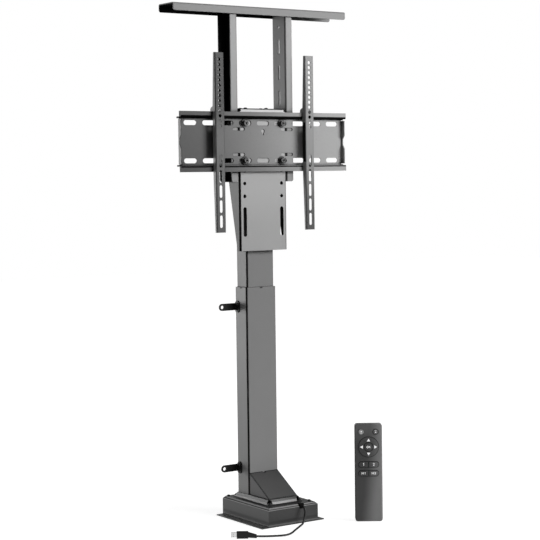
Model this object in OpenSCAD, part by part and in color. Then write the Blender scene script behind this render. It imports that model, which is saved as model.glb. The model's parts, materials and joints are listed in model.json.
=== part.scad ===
// Motor-driven column lift for a flat television.
// A steel base box carries a two-stage telescopic column. The upper stage lifts a
// bracket with a slotted rail, two hook-on arms and a lid frame on two posts.
// Origin: on the floor at the middle of the four corner bolt holes of the base.
// +Z is up, the television hangs on the -Y side, +X is to the right seen from there.
// The lift is drawn fully raised.

/* [Base box] */
// Width of the base box over its side walls
base_w = 150; // [144:1:170]
// Depth of the base box, front to back
base_d = 208; // [204:1:230]
// Height of the base box to its top face
base_h = 48; // [46:0.5:54]
// Sheet thickness of the base box
base_t = 2; // [1.5:0.1:2.5]
// Width and height of the bevelled shoulder round the top
base_bevel = 6; // [4:0.5:7]
// Width of the floor flange on each side
flange_w = 20; // [16:0.5:26]
// Diameter of the floor bolt holes
floor_hole_d = 7; // [5:0.5:9]
// Spacing of the floor bolt holes across the base
floor_pitch_x = 170; // [168:0.5:172]
// Spacing of the corner floor bolt holes, front to back
floor_pitch_y = 180; // [160:1:190]
// Width of the ledge that carries the cover plate
ledge_w = 10; // [8:0.5:12]
// Thickness of the cover plate in the top of the base
cover_t = 2.5; // [2:0.25:3]
// Gap between the cover plate and the shoulder at the sides and the back
cover_gap = 1.5; // [0.5:0.25:2.5]
// Gap between the cover plate and the shoulder at the front
front_gap = 6; // [3:0.5:8]
// Thickness of the closing plate in the bottom of the base
pan_t = 1.5; // [1:0.25:2]

/* [Column] */
// Distance of the column axis behind the middle of the base
column_y = 52; // [48:1:54]
// Width of the outer tube
outer_w = 90; // [88:0.5:94]
// Depth of the outer tube
outer_d = 52; // [51:0.5:56]
// Length of the outer tube
outer_len = 531; // [500:1:600]
// Wall thickness of the outer tube
outer_t = 1.5; // [1.2:0.1:1.8]
// Width of the inner tube
inner_w = 82; // [78:0.5:84]
// Depth of the inner tube
inner_d = 47; // [45:0.5:47.5]
// Length of the inner tube
inner_len = 536; // [520:1:560]
// Wall thickness of the inner tube
inner_t = 1.5; // [1.2:0.1:2]
// Length of the inner tube that stays inside the outer tube at full height
overlap = 90; // [80:1:100]
// Outer corner radius of the outer tube
tube_r = 4; // [3:0.5:5]
// Thickness of the plate that closes the foot of the column
foot_t = 6; // [5:0.5:8]
// Height of the flared plinth round the column foot
plinth_h = 11; // [9:0.5:13]
// How far the flared plinth spreads on each side
plinth_flare = 6; // [4:0.5:8]
// Height of the motor cover above the plinth
motor_cover_h = 55; // [50:1:70]
// Depth of the motor cover in front of the column
motor_cover_d = 86; // [80:1:90]
// Gap between each side of the motor cover and the column's side
motor_cover_in = 2; // [0:0.5:4]
// Sheet thickness of the plinth and the motor cover
cover_sheet = 1.5; // [1.2:0.1:2]
// Height of the glide pads between the tubes
glide_h = 60; // [40:1:70]
// Running clearance of the glide pads
glide_clear = 0.1; // [0.05:0.05:0.2]

/* [Drive] */
// Diameter of the lead screw
screw_d = 16; // [14:0.5:18]
// Length of the lead screw above the gearbox
screw_len = 500; // [490:1:520]
// Radial clearance of a shaft in its bore
run_clear = 0.05; // [0.02:0.01:0.1]
// Diameter of the motor
motor_d = 44; // [40:0.5:46]
// Length of the motor
motor_len = 64; // [58:1:66]
// Height of the motor axis above the floor
motor_z = 34; // [32:0.5:35]
// Pitch diameter of the worm wheel
wheel_d = 40; // [38:0.5:42]
// Pitch diameter of the worm
worm_d = 14; // [13:0.5:15]
// Width of the worm wheel
wheel_w = 9; // [7:0.5:10]
// Height of the nut block in the foot of the inner tube
nut_h = 30; // [24:1:36]

/* [Mounting bracket] */
// Width of the mounting bracket
bracket_w = 143; // [136:1:150]
// Height of the front plate of the bracket
bracket_h = 356; // [350:1:370]
// Sheet thickness of the bracket
bracket_t = 3; // [2.5:0.1:3.5]
// Distance of the bracket's front face from the column axis
bracket_reach = 41.5; // [41:0.5:44]
// Distance of the top screws from the column axis, sideways
cap_screw_x = 31.5; // [28:0.5:33]
// Distance of the top screws from the column axis, front to back
cap_screw_y = 12; // [10:0.5:14]
// Distance of the bracket's bolt holes from its middle
bracket_hole_x = 56; // [54:0.5:58]
// Diameter of the bracket's bolt holes
bracket_hole_d = 9; // [8:0.5:11]
// Pitch of the spare bolt holes down the bracket
bracket_pitch = 32; // [28:1:34]
// Length of the upright slots in the bracket
bracket_slot_l = 74; // [60:1:80]
// Width of the upright slots in the bracket
bracket_slot_w = 10; // [8:0.5:12]

/* [Rail] */
// Length of the rail over its shelves and lips
rail_l = 504; // [490:1:524]
// Height of the rail over its lips
rail_h = 148; // [144:1:152]
// Sheet thickness of the rail
rail_t = 2; // [1.8:0.1:2.5]
// Distance of the rail's middle below the top of the bracket
rail_drop = 83.5; // [82:0.5:90]
// How far the shelves stand out from the rail's plate
rail_shelf = 12; // [11:0.5:14]
// Height of the lips that the arms hook on
rail_lip = 14; // [12:0.5:16]
// Pitch of the long slots
rail_pitch = 53.65; // [53:0.05:54]
// Length of the long slots
rail_slot_l = 36.5; // [34:0.5:40]
// Height of the long slots
rail_slot_h = 12; // [10:0.5:13]
// Distance of the two slot rows from the rail's middle
rail_row = 46.4; // [44:0.2:48]

/* [Arms] */
// Length of each arm
arm_l = 440; // [430:1:450]
// Width of each arm
arm_w = 27; // [25:0.5:30]
// Sheet thickness of the arms
arm_t = 2; // [1.8:0.1:2.5]
// Distance from the rail's lips to the front of the arm
arm_stand = 13; // [11:0.5:15]
// Gap between the rail's plate and the deepest edge of the arms
arm_gap = 2; // [1:0.25:3]
// Depth of the arm's sides at their ends
arm_shallow = 7; // [6:0.5:9]
// Distance of the arm's middle below the rail's middle
arm_drop = 3; // [0:0.5:6]
// Place of the left arm along the rail
arm_left_x = -143.5; // [-200:0.5:-100]
// Place of the right arm along the rail
arm_right_x = 127; // [100:1:200]
// Pitch of the round holes in the arms
arm_pitch = 12.5; // [12.2:0.1:12.8]
// Diameter of the round holes in the arms
arm_hole_d = 8.5; // [7:0.5:10]
// Pitch of the slots in the arms
arm_slot_pitch = 37; // [36:0.5:38]
// Length of the slots in the arms
arm_slot_l = 31; // [28:0.5:32]

/* [Lid frame] */
// Length of each post
post_len = 432; // [420:1:450]
// Depth of each post
post_d = 57; // [54:0.5:60]
// Width of the posts' flanges
post_flange = 20.5; // [18:0.5:23]
// Sheet thickness of the posts
post_t = 2.5; // [2:0.1:3]
// Gap between the bracket and the posts, filled by thin washers
post_gap = 1; // [0.8:0.1:2]
// How far the posts reach down from the top of the bracket
post_drop = 183; // [175:1:190]
// Pitch of the slots in the posts
post_pitch = 64.7; // [62:0.1:66]
// Length of the slots in the posts
post_slot_l = 37; // [34:0.5:40]
// Width of the slots in the posts
post_slot_w = 7.5; // [7:0.25:9]
// Length of the top channel
channel_l = 518; // [480:1:540]
// Depth of the top channel
channel_d = 68.5; // [67:0.5:72]
// Height of the top channel's sides
channel_h = 19.5; // [18:0.5:24]
// Sheet thickness of the top channel
channel_t = 2.5; // [2:0.1:3]
// Diameter of the lid screw holes in the top channel
lid_hole_d = 5.5; // [4:0.5:7]
// Distance of the outer lid screw holes from the ends of the top channel
lid_hole_in = 28; // [20:1:40]
// Distance from the outer to the inner lid screw holes
lid_hole_step = 90; // [70:1:110]
// Spacing of the lid screw holes, front to back
lid_hole_pitch = 36; // [30:1:44]

/* [Wall tabs] */
// Distance of the upper wall tab below the top of the outer tube
tab_high_drop = 50; // [40:1:85]
// Height of the lower wall tab above the floor
tab_low_z = 123; // [110:1:140]
// How far the wall tabs reach out from the column
tab_reach = 52; // [46:1:60]
// Height of the wall tab's arm
tab_h = 18; // [16:0.5:20]
// Sheet thickness of the wall tabs
tab_t = 3; // [2.5:0.1:3.5]
// Diameter of the hole in a wall tab
tab_hole_d = 9; // [7:0.5:10]

/* [Remote control] */
// Width of the remote control
remote_w = 69; // [66:1:76]
// Length of the remote control
remote_l = 246; // [240:1:256]
// Thickness of the remote control
remote_t = 22; // [21:0.5:26]
// Wall thickness of the remote control
remote_wall = 2; // [1.6:0.1:2.4]
// How far the keys stand out of the remote control
key_proud = 1.5; // [1.2:0.1:2]
// Gap round each key
key_gap = 0.4; // [0.3:0.05:0.6]
// Place of the remote control, to the right of the origin
remote_x = 173; // [165:1:190]
// Place of the remote control, in front of the origin
remote_y = -186; // [-200:1:-180]
// Angle by which the remote control is turned from facing forwards
remote_turn = 34.6; // [20:0.2:45]

/* [Cord] */
// Diameter of the data cord
cord_d = 5; // [4:0.1:5.2]

/* [Hidden] */
$fn = 48;
eps = 0.5;

steel = "#6f7072";
light_steel = "#8d8e90";
dark_steel = "#4f5052";
black = "#1c1c1d";

// Heights that follow from the stack of parts
tube_z0 = base_h + foot_t;
tube_z1 = tube_z0 + outer_len;
tab_high_z = tube_z1 - tab_high_drop;
inner_z0 = tube_z1 - overlap;
inner_z1 = inner_z0 + inner_len;
bracket_z1 = inner_z1 + bracket_t;
bracket_z0 = bracket_z1 - bracket_h;
bracket_y = column_y - bracket_reach;
rail_z = bracket_z1 - rail_drop;
post_z0 = bracket_z1 - post_drop;
post_z1 = post_z0 + post_len;
plinth_z1 = base_h + plinth_h;
column_front = column_y - outer_d / 2;
column_back = column_y + outer_d / 2;

function unit(v) = v / norm(v);

// Points of the arc that rounds the corner b between a and c
function corner_arc(a, b, c, r, n) =
    let (u = unit(a - b),
         w = unit(c - b),
         half = acos(u * w) / 2,
         reach = r / tan(half),
         centre = b + unit(u + w) * r / sin(half),
         p = b + u * reach - centre,
         q = b + w * reach - centre,
         turn = atan2(p[0] * q[1] - p[1] * q[0], p * q),
         start = atan2(p[1], p[0]))
    [for (i = [0:n]) centre + r * [cos(start + turn * i / n), sin(start + turn * i / n)]];

// A path with each inner corner rounded
function bent(path, r, n = 4) =
    let (last = len(path) - 1)
    concat([path[0]],
           [for (i = [1:last - 1]) each corner_arc(path[i - 1], path[i], path[i + 1], r, n)],
           [path[last]]);

// A path moved sideways by a distance, with mitred corners
function beside(path, d) =
    let (last = len(path) - 1)
    [for (i = [0:last])
        let (a = unit(path[min(i + 1, last)] - path[min(i, last - 1)]),
             b = unit(path[max(i, 1)] - path[max(i - 1, 0)]),
             m = unit(a + b))
        path[i] + d / (m * a) * [-m[1], m[0]]];

// Outline of a bent sheet of thickness t along a centre path
function sheet(path, t) =
    let (right = beside(path, -t / 2), n = len(right))
    concat(beside(path, t / 2), [for (i = [0:n - 1]) right[n - 1 - i]]);

// Outline of a closed shape with every corner rounded
function rounded(points, r, n = 5) =
    let (m = len(points))
    [for (i = [0:m - 1])
        each corner_arc(points[(i + m - 1) % m], points[i], points[(i + 1) % m], r, n)];

function rectangle(w, d) = [[-w / 2, -d / 2], [w / 2, -d / 2], [w / 2, d / 2], [-w / 2, d / 2]];

function round_rect(w, d, r, n = 5) = rounded(rectangle(w, d), r, n);

// Outline [x, z] pushed along Y
module prism_y(points, y0, y1) {
    translate([0, y1, 0]) rotate([90, 0, 0]) linear_extrude(y1 - y0) polygon(points);
}

// Outline [y, z] pushed along X
module prism_x(points, x0, x1) {
    translate([x0, 0, 0]) rotate([90, 0, 90]) linear_extrude(x1 - x0) polygon(points);
}

// Outline [x, y] pushed along Z
module prism_z(points, z0, z1) {
    translate([0, 0, z0]) linear_extrude(z1 - z0) polygon(points);
}

module block(x0, x1, y0, y1, z0, z1) {
    translate([x0, y0, z0]) cube([x1 - x0, y1 - y0, z1 - z0]);
}

module rod_x(x0, x1, y, z, d) {
    translate([x0, y, z]) rotate([0, 90, 0]) cylinder(d = d, h = x1 - x0);
}

module rod_y(x, y0, y1, z, d) {
    translate([x, y1, z]) rotate([90, 0, 0]) cylinder(d = d, h = y1 - y0);
}

module rod_z(x, y, z0, z1, d) {
    translate([x, y, z0]) cylinder(d = d, h = z1 - z0);
}

// Slot with round ends that lies along X and is pushed along Z
module slot(length, width, height) {
    half = (length - width) / 2;
    translate([-half, 0, 0]) cylinder(d = width, h = height);
    translate([half, 0, 0]) cylinder(d = width, h = height);
    translate([-half, -width / 2, 0]) cube([2 * half, width, height]);
}

// Slot through a plate that faces Y, along X or upright
module slot_y(x, y0, y1, z, length, width, upright = false) {
    translate([x, y1, z]) rotate([90, 0, 0]) rotate([0, 0, upright ? 90 : 0])
        slot(length, width, y1 - y0);
}

// Upright slot through a plate that faces X
module slot_x(x0, x1, y, z, length, width) {
    translate([x0, y, z]) rotate([0, 90, 0]) slot(length, width, x1 - x0);
}

// Button-head screw that points down, its head seated at z = 0
module button_screw(d, grip) {
    head_d = 1.9 * d;
    head_h = 0.55 * d;
    difference() {
        union() {
            cylinder(d1 = head_d, d2 = 0.62 * head_d, h = head_h);
            translate([0, 0, -grip]) cylinder(d = d, h = grip + head_h / 2);
        }
        translate([0, 0, head_h * 0.45]) cylinder(d = 0.62 * d, h = head_h, $fn = 6);
    }
}

// The four corner places of the base cover's screws
cover_screw_x = base_w / 2 - base_bevel - ledge_w / 2;
cover_screw_back = base_d / 2 - base_bevel - ledge_w / 2;
cover_screw_front = -(base_d / 2 - base_bevel - front_gap - ledge_w);
cover_screw_d = 5;
cover_screw_places = [for (x = [-1, 1]) each [[x * cover_screw_x, cover_screw_back],
                                              [x * cover_screw_x, cover_screw_front]]];
cover_z0 = base_h - cover_t;
ledge_t = base_t;
grommet_x = 25;
grommet_w = 12;
grommet_h = 11;
grommet_reach = 4.5;
inlet_x = 38;
inlet_z = 22;
inlet_w = 28;
inlet_h = 20;

// Box with its four upper edges bevelled
module bevelled_box(w, d, h, bevel) {
    intersection() {
        prism_y([[-w / 2, 0], [w / 2, 0], [w / 2, h - bevel], [w / 2 - bevel, h],
                 [bevel - w / 2, h], [-w / 2, h - bevel]], -d, d);
        prism_x([[-d / 2, 0], [d / 2, 0], [d / 2, h - bevel], [d / 2 - bevel, h],
                 [bevel - d / 2, h], [-d / 2, h - bevel]], -w, w);
    }
}

// Folded box of the base, with a ledge for its cover and a floor flange on each side
module base_housing() {
    inner_x = base_w / 2 - base_bevel;
    inner_y = base_d / 2 - base_bevel;
    ledge_z = cover_z0 - ledge_t;
    color(dark_steel)
    difference() {
        union() {
            bevelled_box(base_w, base_d, base_h, base_bevel);
            for (side = [-1, 1])
                translate([side * (base_w / 2 - base_t + flange_w / 2 + base_t / 2), 0, 0])
                    prism_z(round_rect(flange_w + base_t, base_d, 2), 0, base_t);
        }
        difference() {
            translate([0, 0, -eps])
                bevelled_box(base_w - 2 * base_t, base_d - 2 * base_t, base_h - base_t + eps,
                             base_bevel);
            block(-base_w, base_w, -base_d, base_d, ledge_z, base_h);
        }
        difference() {
            block(-inner_x, inner_x, -inner_y, inner_y, ledge_z - eps, base_h + eps);
            block(-inner_x - eps, inner_x + eps, -inner_y - eps, inner_y + eps, ledge_z, cover_z0);
        }
        block(ledge_w - inner_x, inner_x - ledge_w, ledge_w + front_gap - inner_y,
              inner_y - ledge_w, ledge_z - eps, cover_z0 + eps);
        for (p = cover_screw_places)
            rod_z(p[0], p[1], ledge_z - eps, cover_z0 + eps, cover_screw_d);
        for (x = [-1, 1], y = [-1, 0, 1])
            rod_z(x * floor_pitch_x / 2, y * floor_pitch_y / 2, -eps, base_t + eps, floor_hole_d);
        block(grommet_x - grommet_w / 2, grommet_x + grommet_w / 2, -base_d / 2 - eps,
              grommet_reach - inner_y, base_h - grommet_h, base_h + eps);
        block(inlet_x - inlet_w / 2, inlet_x + inlet_w / 2, base_d / 2 - base_t - eps,
              base_d / 2 + eps, inlet_z - inlet_h / 2, inlet_z + inlet_h / 2);
    }
}

motor_x = -(wheel_d + worm_d) / 2;
motor_back = column_y - 31;
motor_front = motor_back - motor_len;
foot_bolt_x = 35;
foot_bolt_y = 17;
foot_bolt_d = 8;
foot_bolt_places = [for (x = [-1, 1], y = [-1, 1]) [x * foot_bolt_x, column_y + y * foot_bolt_y]];
screw_pass_d = screw_d + 8;

// Clear space for the motor, which stands higher than the base
module motor_room(z0, z1) {
    room = 3;
    block(motor_x - motor_d / 2 - room, motor_x + motor_d / 2 + room, motor_front - room,
          column_front - room, z0, z1);
}

// Flat plate that closes the top of the base and carries the column
module base_cover() {
    half_x = base_w / 2 - base_bevel - cover_gap;
    y0 = -(base_d / 2 - base_bevel - front_gap);
    y1 = base_d / 2 - base_bevel - cover_gap;
    color(dark_steel)
    difference() {
        translate([0, (y0 + y1) / 2, 0])
            prism_z(round_rect(2 * half_x, y1 - y0, 2), cover_z0, base_h);
        for (p = cover_screw_places)
            rod_z(p[0], p[1], cover_z0 - eps, base_h + eps, cover_screw_d);
        for (p = foot_bolt_places)
            rod_z(p[0], p[1], cover_z0 - eps, base_h + eps, foot_bolt_d);
        for (p = plinth_screw_places)
            rod_z(p[0], p[1], cover_z0 - eps, base_h + eps, plinth_screw_d);
        rod_z(0, column_y, cover_z0 - eps, base_h + eps, screw_pass_d);
        motor_room(cover_z0 - eps, base_h + eps);
    }
}

module base_cover_screws() {
    color(black)
    for (p = cover_screw_places)
        translate([p[0], p[1], base_h]) button_screw(cover_screw_d, cover_t + ledge_t + 2);
}

// Sheet that closes the bottom of the base
module base_bottom_plate() {
    play = 0.2;
    color(dark_steel)
    prism_z(rectangle(base_w - 2 * base_t - 2 * play, base_d - 2 * base_t - 2 * play), 0, pan_t);
}

// Thick plate on which the outer tube stands
module column_foot_plate() {
    color(steel)
    difference() {
        translate([0, column_y, 0])
            prism_z(round_rect(outer_w, outer_d, tube_r), base_h, tube_z0);
        for (p = foot_bolt_places)
            rod_z(p[0], p[1], base_h - eps, tube_z0 + eps, foot_bolt_d);
        rod_z(0, column_y, base_h - eps, tube_z0 + eps, screw_pass_d);
    }
}

// Hexagon bolts from below, through the cover plate into the foot plate
module column_foot_bolts() {
    head_af = 13;
    head_h = 5;
    color(black)
    for (p = foot_bolt_places) {
        rod_z(p[0], p[1], cover_z0 - eps, tube_z0, foot_bolt_d);
        translate([p[0], p[1], cover_z0 - head_h])
            cylinder(d = head_af / cos(30), h = head_h, $fn = 6);
    }
}

plinth_screw_d = 6;
motor_cover_half = outer_w / 2 - motor_cover_in;
plinth_top_x = outer_w / 2 + cover_sheet;
plinth_y0 = column_front - motor_cover_d - cover_sheet;
plinth_y1 = column_back + cover_sheet;
plinth_screw_x = plinth_top_x + plinth_flare - 8;
plinth_screw_places = [for (x = [-1, 1]) each [[x * plinth_screw_x, plinth_y0 - plinth_flare + 1],
                                               [x * plinth_screw_x, plinth_y1 + plinth_flare - 1]]];

// Block with four sloping sides that widens by spread at its foot
module flared_block(half_x, y0, y1, z0, z1, spread) {
    intersection() {
        prism_y([[-half_x - spread, z0], [half_x + spread, z0], [half_x, z1], [-half_x, z1]],
                y0 - 2 * spread, y1 + 2 * spread);
        prism_x([[y0 - spread, z0], [y1 + spread, z0], [y1, z1], [y0, z1]],
                -half_x - 2 * spread, half_x + 2 * spread);
    }
}

// Flared skirt round the foot of the column and the motor cover
module column_plinth() {
    lug_t = 2;
    color(light_steel)
    difference() {
        union() {
            flared_block(plinth_top_x, plinth_y0, plinth_y1, base_h, plinth_z1, plinth_flare);
            for (p = plinth_screw_places)
                rod_z(p[0], p[1], base_h, base_h + lug_t, 2.4 * plinth_screw_d);
        }
        difference() {
            translate([0, 0, -cover_sheet])
                flared_block(plinth_top_x - cover_sheet, plinth_y0 + cover_sheet,
                             plinth_y1 - cover_sheet, base_h, plinth_z1, plinth_flare);
            for (p = plinth_screw_places)
                rod_z(p[0], p[1], base_h, base_h + lug_t, 2.4 * plinth_screw_d);
        }
        translate([0, column_y, 0])
            prism_z(round_rect(outer_w, outer_d, tube_r), base_h - eps, plinth_z1 + eps);
        block(cover_sheet - motor_cover_half, motor_cover_half - cover_sheet,
              column_front - motor_cover_d + cover_sheet, column_y, base_h - eps, plinth_z1 + eps);
        for (p = plinth_screw_places) {
            rod_z(p[0], p[1], base_h - eps, plinth_z1, plinth_screw_d);
            rod_z(p[0], p[1], base_h + lug_t, plinth_z1 + eps, 2.4 * plinth_screw_d);
        }
    }
}

module plinth_screws() {
    color(black)
    for (p = plinth_screw_places)
        translate([p[0], p[1], base_h + 2]) button_screw(plinth_screw_d, cover_t + 3);
}

tab_screw_d = 4;
tab_screw_rise = 8;
notch_w = 8;
notch_h = 3;
tab_foot_w = 17;
tab_y1 = column_back - 3;
tab_screw_y = tab_y1 - tab_t - (tab_foot_w - tab_t) / 2;
tab_screw_places = [for (z = [tab_low_z, tab_high_z], s = [-1, 1]) [tab_screw_y, z + s * tab_screw_rise]];

// Fixed outer tube of the column
module outer_tube() {
    color(steel)
    difference() {
        translate([0, column_y, 0])
            prism_z(round_rect(outer_w, outer_d, tube_r), tube_z0, tube_z1);
        translate([0, column_y, 0])
            prism_z(round_rect(outer_w - 2 * outer_t, outer_d - 2 * outer_t, tube_r - outer_t),
                    tube_z0 - eps, tube_z1 + eps);
        block(-outer_w, outer_w, column_y - notch_w / 2, column_y + notch_w / 2,
              tube_z1 - notch_h, tube_z1 + eps);
        block(-notch_w / 2, notch_w / 2, column_y - outer_d, column_y + outer_d,
              tube_z1 - notch_h, tube_z1 + eps);
        for (p = tab_screw_places)
            rod_x(-outer_w / 2 - eps, -outer_w / 2 + outer_t + eps, p[0], p[1], tab_screw_d);
    }
}

// Pads that hang in the top of the outer tube by a hook in each notch
module upper_glide_pads() {
    gap_x = (outer_w - inner_w) / 2 - outer_t;
    gap_y = (outer_d - inner_d) / 2 - outer_t;
    color(black)
    for (side = [-1, 1]) {
        translate([0, column_y, 0]) {
            scale([side, 1, 1]) {
                block(inner_w / 2 + glide_clear, inner_w / 2 + gap_x, -inner_d / 4, inner_d / 4,
                      tube_z1 - glide_h, tube_z1);
                block(inner_w / 2 + gap_x - eps, outer_w / 2 + 0.4, 0.1 - notch_w / 2,
                      notch_w / 2 - 0.1, tube_z1 - notch_h, tube_z1);
            }
            scale([1, side, 1]) {
                block(-inner_w / 3, inner_w / 3, inner_d / 2 + glide_clear, inner_d / 2 + gap_y,
                      tube_z1 - glide_h, tube_z1);
                block(0.1 - notch_w / 2, notch_w / 2 - 0.1, inner_d / 2 + gap_y - eps / 2,
                      outer_d / 2 + 0.4, tube_z1 - notch_h, tube_z1);
            }
        }
    }
}

// Wedge-shaped sheet cover in front of the column, open at its back and its foot
module motor_cover() {
    half = motor_cover_half;
    front = column_front - motor_cover_d;
    slope = motor_cover_h / motor_cover_d;
    hook_w = 7;
    s = cover_sheet;
    color(dark_steel)
    difference() {
        prism_x([[front, plinth_z1], [column_front, plinth_z1],
                 [column_front, plinth_z1 + motor_cover_h], [front, plinth_z1 + s]], -half, half);
        prism_x([[front + s, plinth_z1 - eps], [column_front + eps, plinth_z1 - eps],
                 [column_front + eps, plinth_z1 + motor_cover_h - 1.2 * s + eps * slope],
                 [front + s, plinth_z1 + s * slope]], s - half, half - s);
        block(-hook_w / 2, hook_w / 2, column_front - 3, column_front + eps,
              plinth_z1 + motor_cover_h - 4, plinth_z1 + motor_cover_h + eps);
    }
}

gear_floor = 4;
wheel_z0 = motor_z - wheel_w / 2;
wheel_z1 = motor_z + wheel_w / 2;
gear_z0 = wheel_z0 - 1 - gear_floor;
gear_split = wheel_z1 + 0.8;
gear_wall = 4;
gear_tooth = 2;
gear_x0 = motor_x - worm_d / 2 - gear_wall - 2;
gear_x1 = wheel_d / 2 + gear_tooth + gear_wall + 1;
gear_y0 = column_y - wheel_d / 2 - gear_tooth - gear_wall - 1;
gear_y1 = column_y + wheel_d / 2 + gear_tooth + gear_wall + 1;
journal_d = 10;
shaft_d = 6;
bearing_d = 26;

module gear_room(z0, z1) {
    rod_z(0, column_y, z0, z1, wheel_d + 2 * gear_tooth + 2);
}

// Tub of the gearbox, with room for the wheel and the worm
module gearbox_housing() {
    color(light_steel)
    difference() {
        translate([(gear_x0 + gear_x1) / 2, (gear_y0 + gear_y1) / 2, 0])
            prism_z(round_rect(gear_x1 - gear_x0, gear_y1 - gear_y0, 5), gear_z0, gear_split);
        gear_room(wheel_z0 - 1, gear_split + eps);
        rod_y(motor_x, gear_y0 + gear_wall, gear_y1 - gear_wall, motor_z, worm_d + 2 * gear_tooth);
        block(motor_x - worm_d / 2 - gear_tooth, motor_x + worm_d / 2 + gear_tooth,
              gear_y0 + gear_wall, gear_y1 - gear_wall, motor_z, gear_split + eps);
        rod_y(motor_x, gear_y0 - eps, gear_y1 - gear_wall / 2, motor_z, shaft_d + 2 * run_clear);
        rod_z(0, column_y, gear_z0 + 1, wheel_z0, journal_d + 2 * run_clear);
    }
}

// Lid of the gearbox under the cover plate, which holds the screw's bearing
module gearbox_cover() {
    color(light_steel)
    difference() {
        translate([(gear_x0 + gear_x1) / 2, (gear_y0 + gear_y1) / 2, 0])
            prism_z(round_rect(gear_x1 - gear_x0, gear_y1 - gear_y0, 5), gear_split, cover_z0);
        rod_z(0, column_y, gear_split - eps, cover_z0 + eps, bearing_d);
        for (p = foot_bolt_places)
            rod_z(p[0], p[1], gear_split - eps, cover_z0 + eps, 16);
        rod_y(motor_x, gear_y0 + gear_wall, gear_y1 - gear_wall, motor_z, worm_d + 2 * gear_tooth);
        motor_room(gear_split - eps, cover_z0 + eps);
    }
}

module screw_bearing() {
    color("silver")
    difference() {
        rod_z(0, column_y, gear_split, cover_z0, bearing_d);
        rod_z(0, column_y, gear_split - eps, cover_z0 + eps, screw_d + 2 * run_clear);
    }
}

// Motor can with a stepped end cap
module drive_motor() {
    color(black)
    difference() {
        union() {
            rod_y(motor_x, motor_front + 4, motor_back, motor_z, motor_d);
            rod_y(motor_x, motor_front, motor_front + 4 + eps, motor_z, motor_d - 8);
        }
        rod_y(motor_x, motor_back - 12, motor_back + eps, motor_z, shaft_d + 2 * run_clear);
    }
}

module motor_worm() {
    color("silver") {
        rod_y(motor_x, motor_back - 10, gear_y1 - gear_wall / 2 - 0.3, motor_z, shaft_d);
        rod_y(motor_x, column_y - 14, column_y + 14, motor_z, worm_d - 0.3);
    }
}

module worm_wheel() {
    color("goldenrod")
    difference() {
        rod_z(0, column_y, wheel_z0, wheel_z1, wheel_d - 0.3);
        rod_z(0, column_y, wheel_z0 - eps, wheel_z1 + eps, journal_d);
    }
}

// Lead screw with its lower journal in the gearbox
module lead_screw() {
    color("silver") {
        rod_z(0, column_y, gear_z0 + 1.3, wheel_z1, journal_d);
        rod_z(0, column_y, wheel_z1, tube_z0 + screw_len, screw_d);
    }
}

// Electronics in their own plastic case, on the bottom plate
module control_box() {
    y1 = column_y - 42;
    y0 = 18 - base_d / 2;
    x0 = 8;
    x1 = base_w / 2 - base_t - 8;
    case_h = 30;
    color(black)
    difference() {
        translate([(x0 + x1) / 2, (y0 + y1) / 2, 0])
            prism_z(round_rect(x1 - x0, y1 - y0, 3), pan_t, pan_t + case_h);
        for (i = [0:3])
            block(x0 + 6 + 12 * i, x0 + 14 + 12 * i, y1 - 8, y1 + eps, pan_t + 8, pan_t + 18);
    }
}

// Mains inlet in the back wall
module power_inlet() {
    recess_w = 16;
    recess_h = 9;
    depth = 18;
    rim = 2;
    y1 = base_d / 2;
    color(black)
    difference() {
        union() {
            block(inlet_x - inlet_w / 2 + 0.2, inlet_x + inlet_w / 2 - 0.2, y1 - depth, y1,
                  inlet_z - inlet_h / 2 + 0.2, inlet_z + inlet_h / 2 - 0.2);
            translate([inlet_x, y1 + 1.5, inlet_z]) rotate([90, 0, 0]) linear_extrude(1.5)
                polygon(round_rect(inlet_w + 2 * rim, inlet_h + 2 * rim, 2));
        }
        slot_y(inlet_x, y1 - depth + 3, y1 + 2, inlet_z, recess_w, recess_h);
    }
}

// Black angle with a round eye, screwed to the side of the outer tube
module wall_tab(z) {
    x0 = -outer_w / 2;
    eye_x = x0 - tab_reach + tab_h / 2;
    foot_h = 30;
    foot_y0 = tab_y1 - tab_foot_w;
    color(black)
    difference() {
        union() {
            translate([x0, (foot_y0 + tab_y1) / 2, z]) rotate([0, -90, 0])
                slot(foot_h, tab_foot_w, tab_t);
            block(x0 - tab_t, x0, tab_y1 - tab_t, tab_y1, z - tab_h / 2, z + tab_h / 2);
            block(eye_x, x0, tab_y1 - tab_t, tab_y1, z - tab_h / 2, z + tab_h / 2);
            rod_y(eye_x, tab_y1 - tab_t, tab_y1, z, tab_h);
        }
        rod_y(eye_x, tab_y1 - tab_t - eps, tab_y1 + eps, z, tab_hole_d);
        for (s = [-1, 1])
            rod_x(x0 - tab_t - eps, x0 + eps, tab_screw_y, z + s * tab_screw_rise, tab_screw_d);
    }
}

module wall_tab_upper() {
    wall_tab(tab_high_z);
}

module wall_tab_lower() {
    wall_tab(tab_low_z);
}

module wall_tab_screws() {
    color(black)
    for (p = tab_screw_places)
        translate([-outer_w / 2 - tab_t, p[0], p[1]]) rotate([0, -90, 0])
            button_screw(tab_screw_d, tab_t + outer_t - 0.2);
}

// Moving inner tube
module inner_tube() {
    color(steel)
    translate([0, column_y, 0])
    difference() {
        prism_z(round_rect(inner_w, inner_d, tube_r), inner_z0, inner_z1);
        prism_z(round_rect(inner_w - 2 * inner_t, inner_d - 2 * inner_t, tube_r - inner_t),
                inner_z0 - eps, inner_z1 + eps);
    }
}

cap_screw_d = 6;
cap_screw_places = [for (x = [-1, 1], y = [-1, 1]) [x * cap_screw_x, column_y + y * cap_screw_y]];

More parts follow.
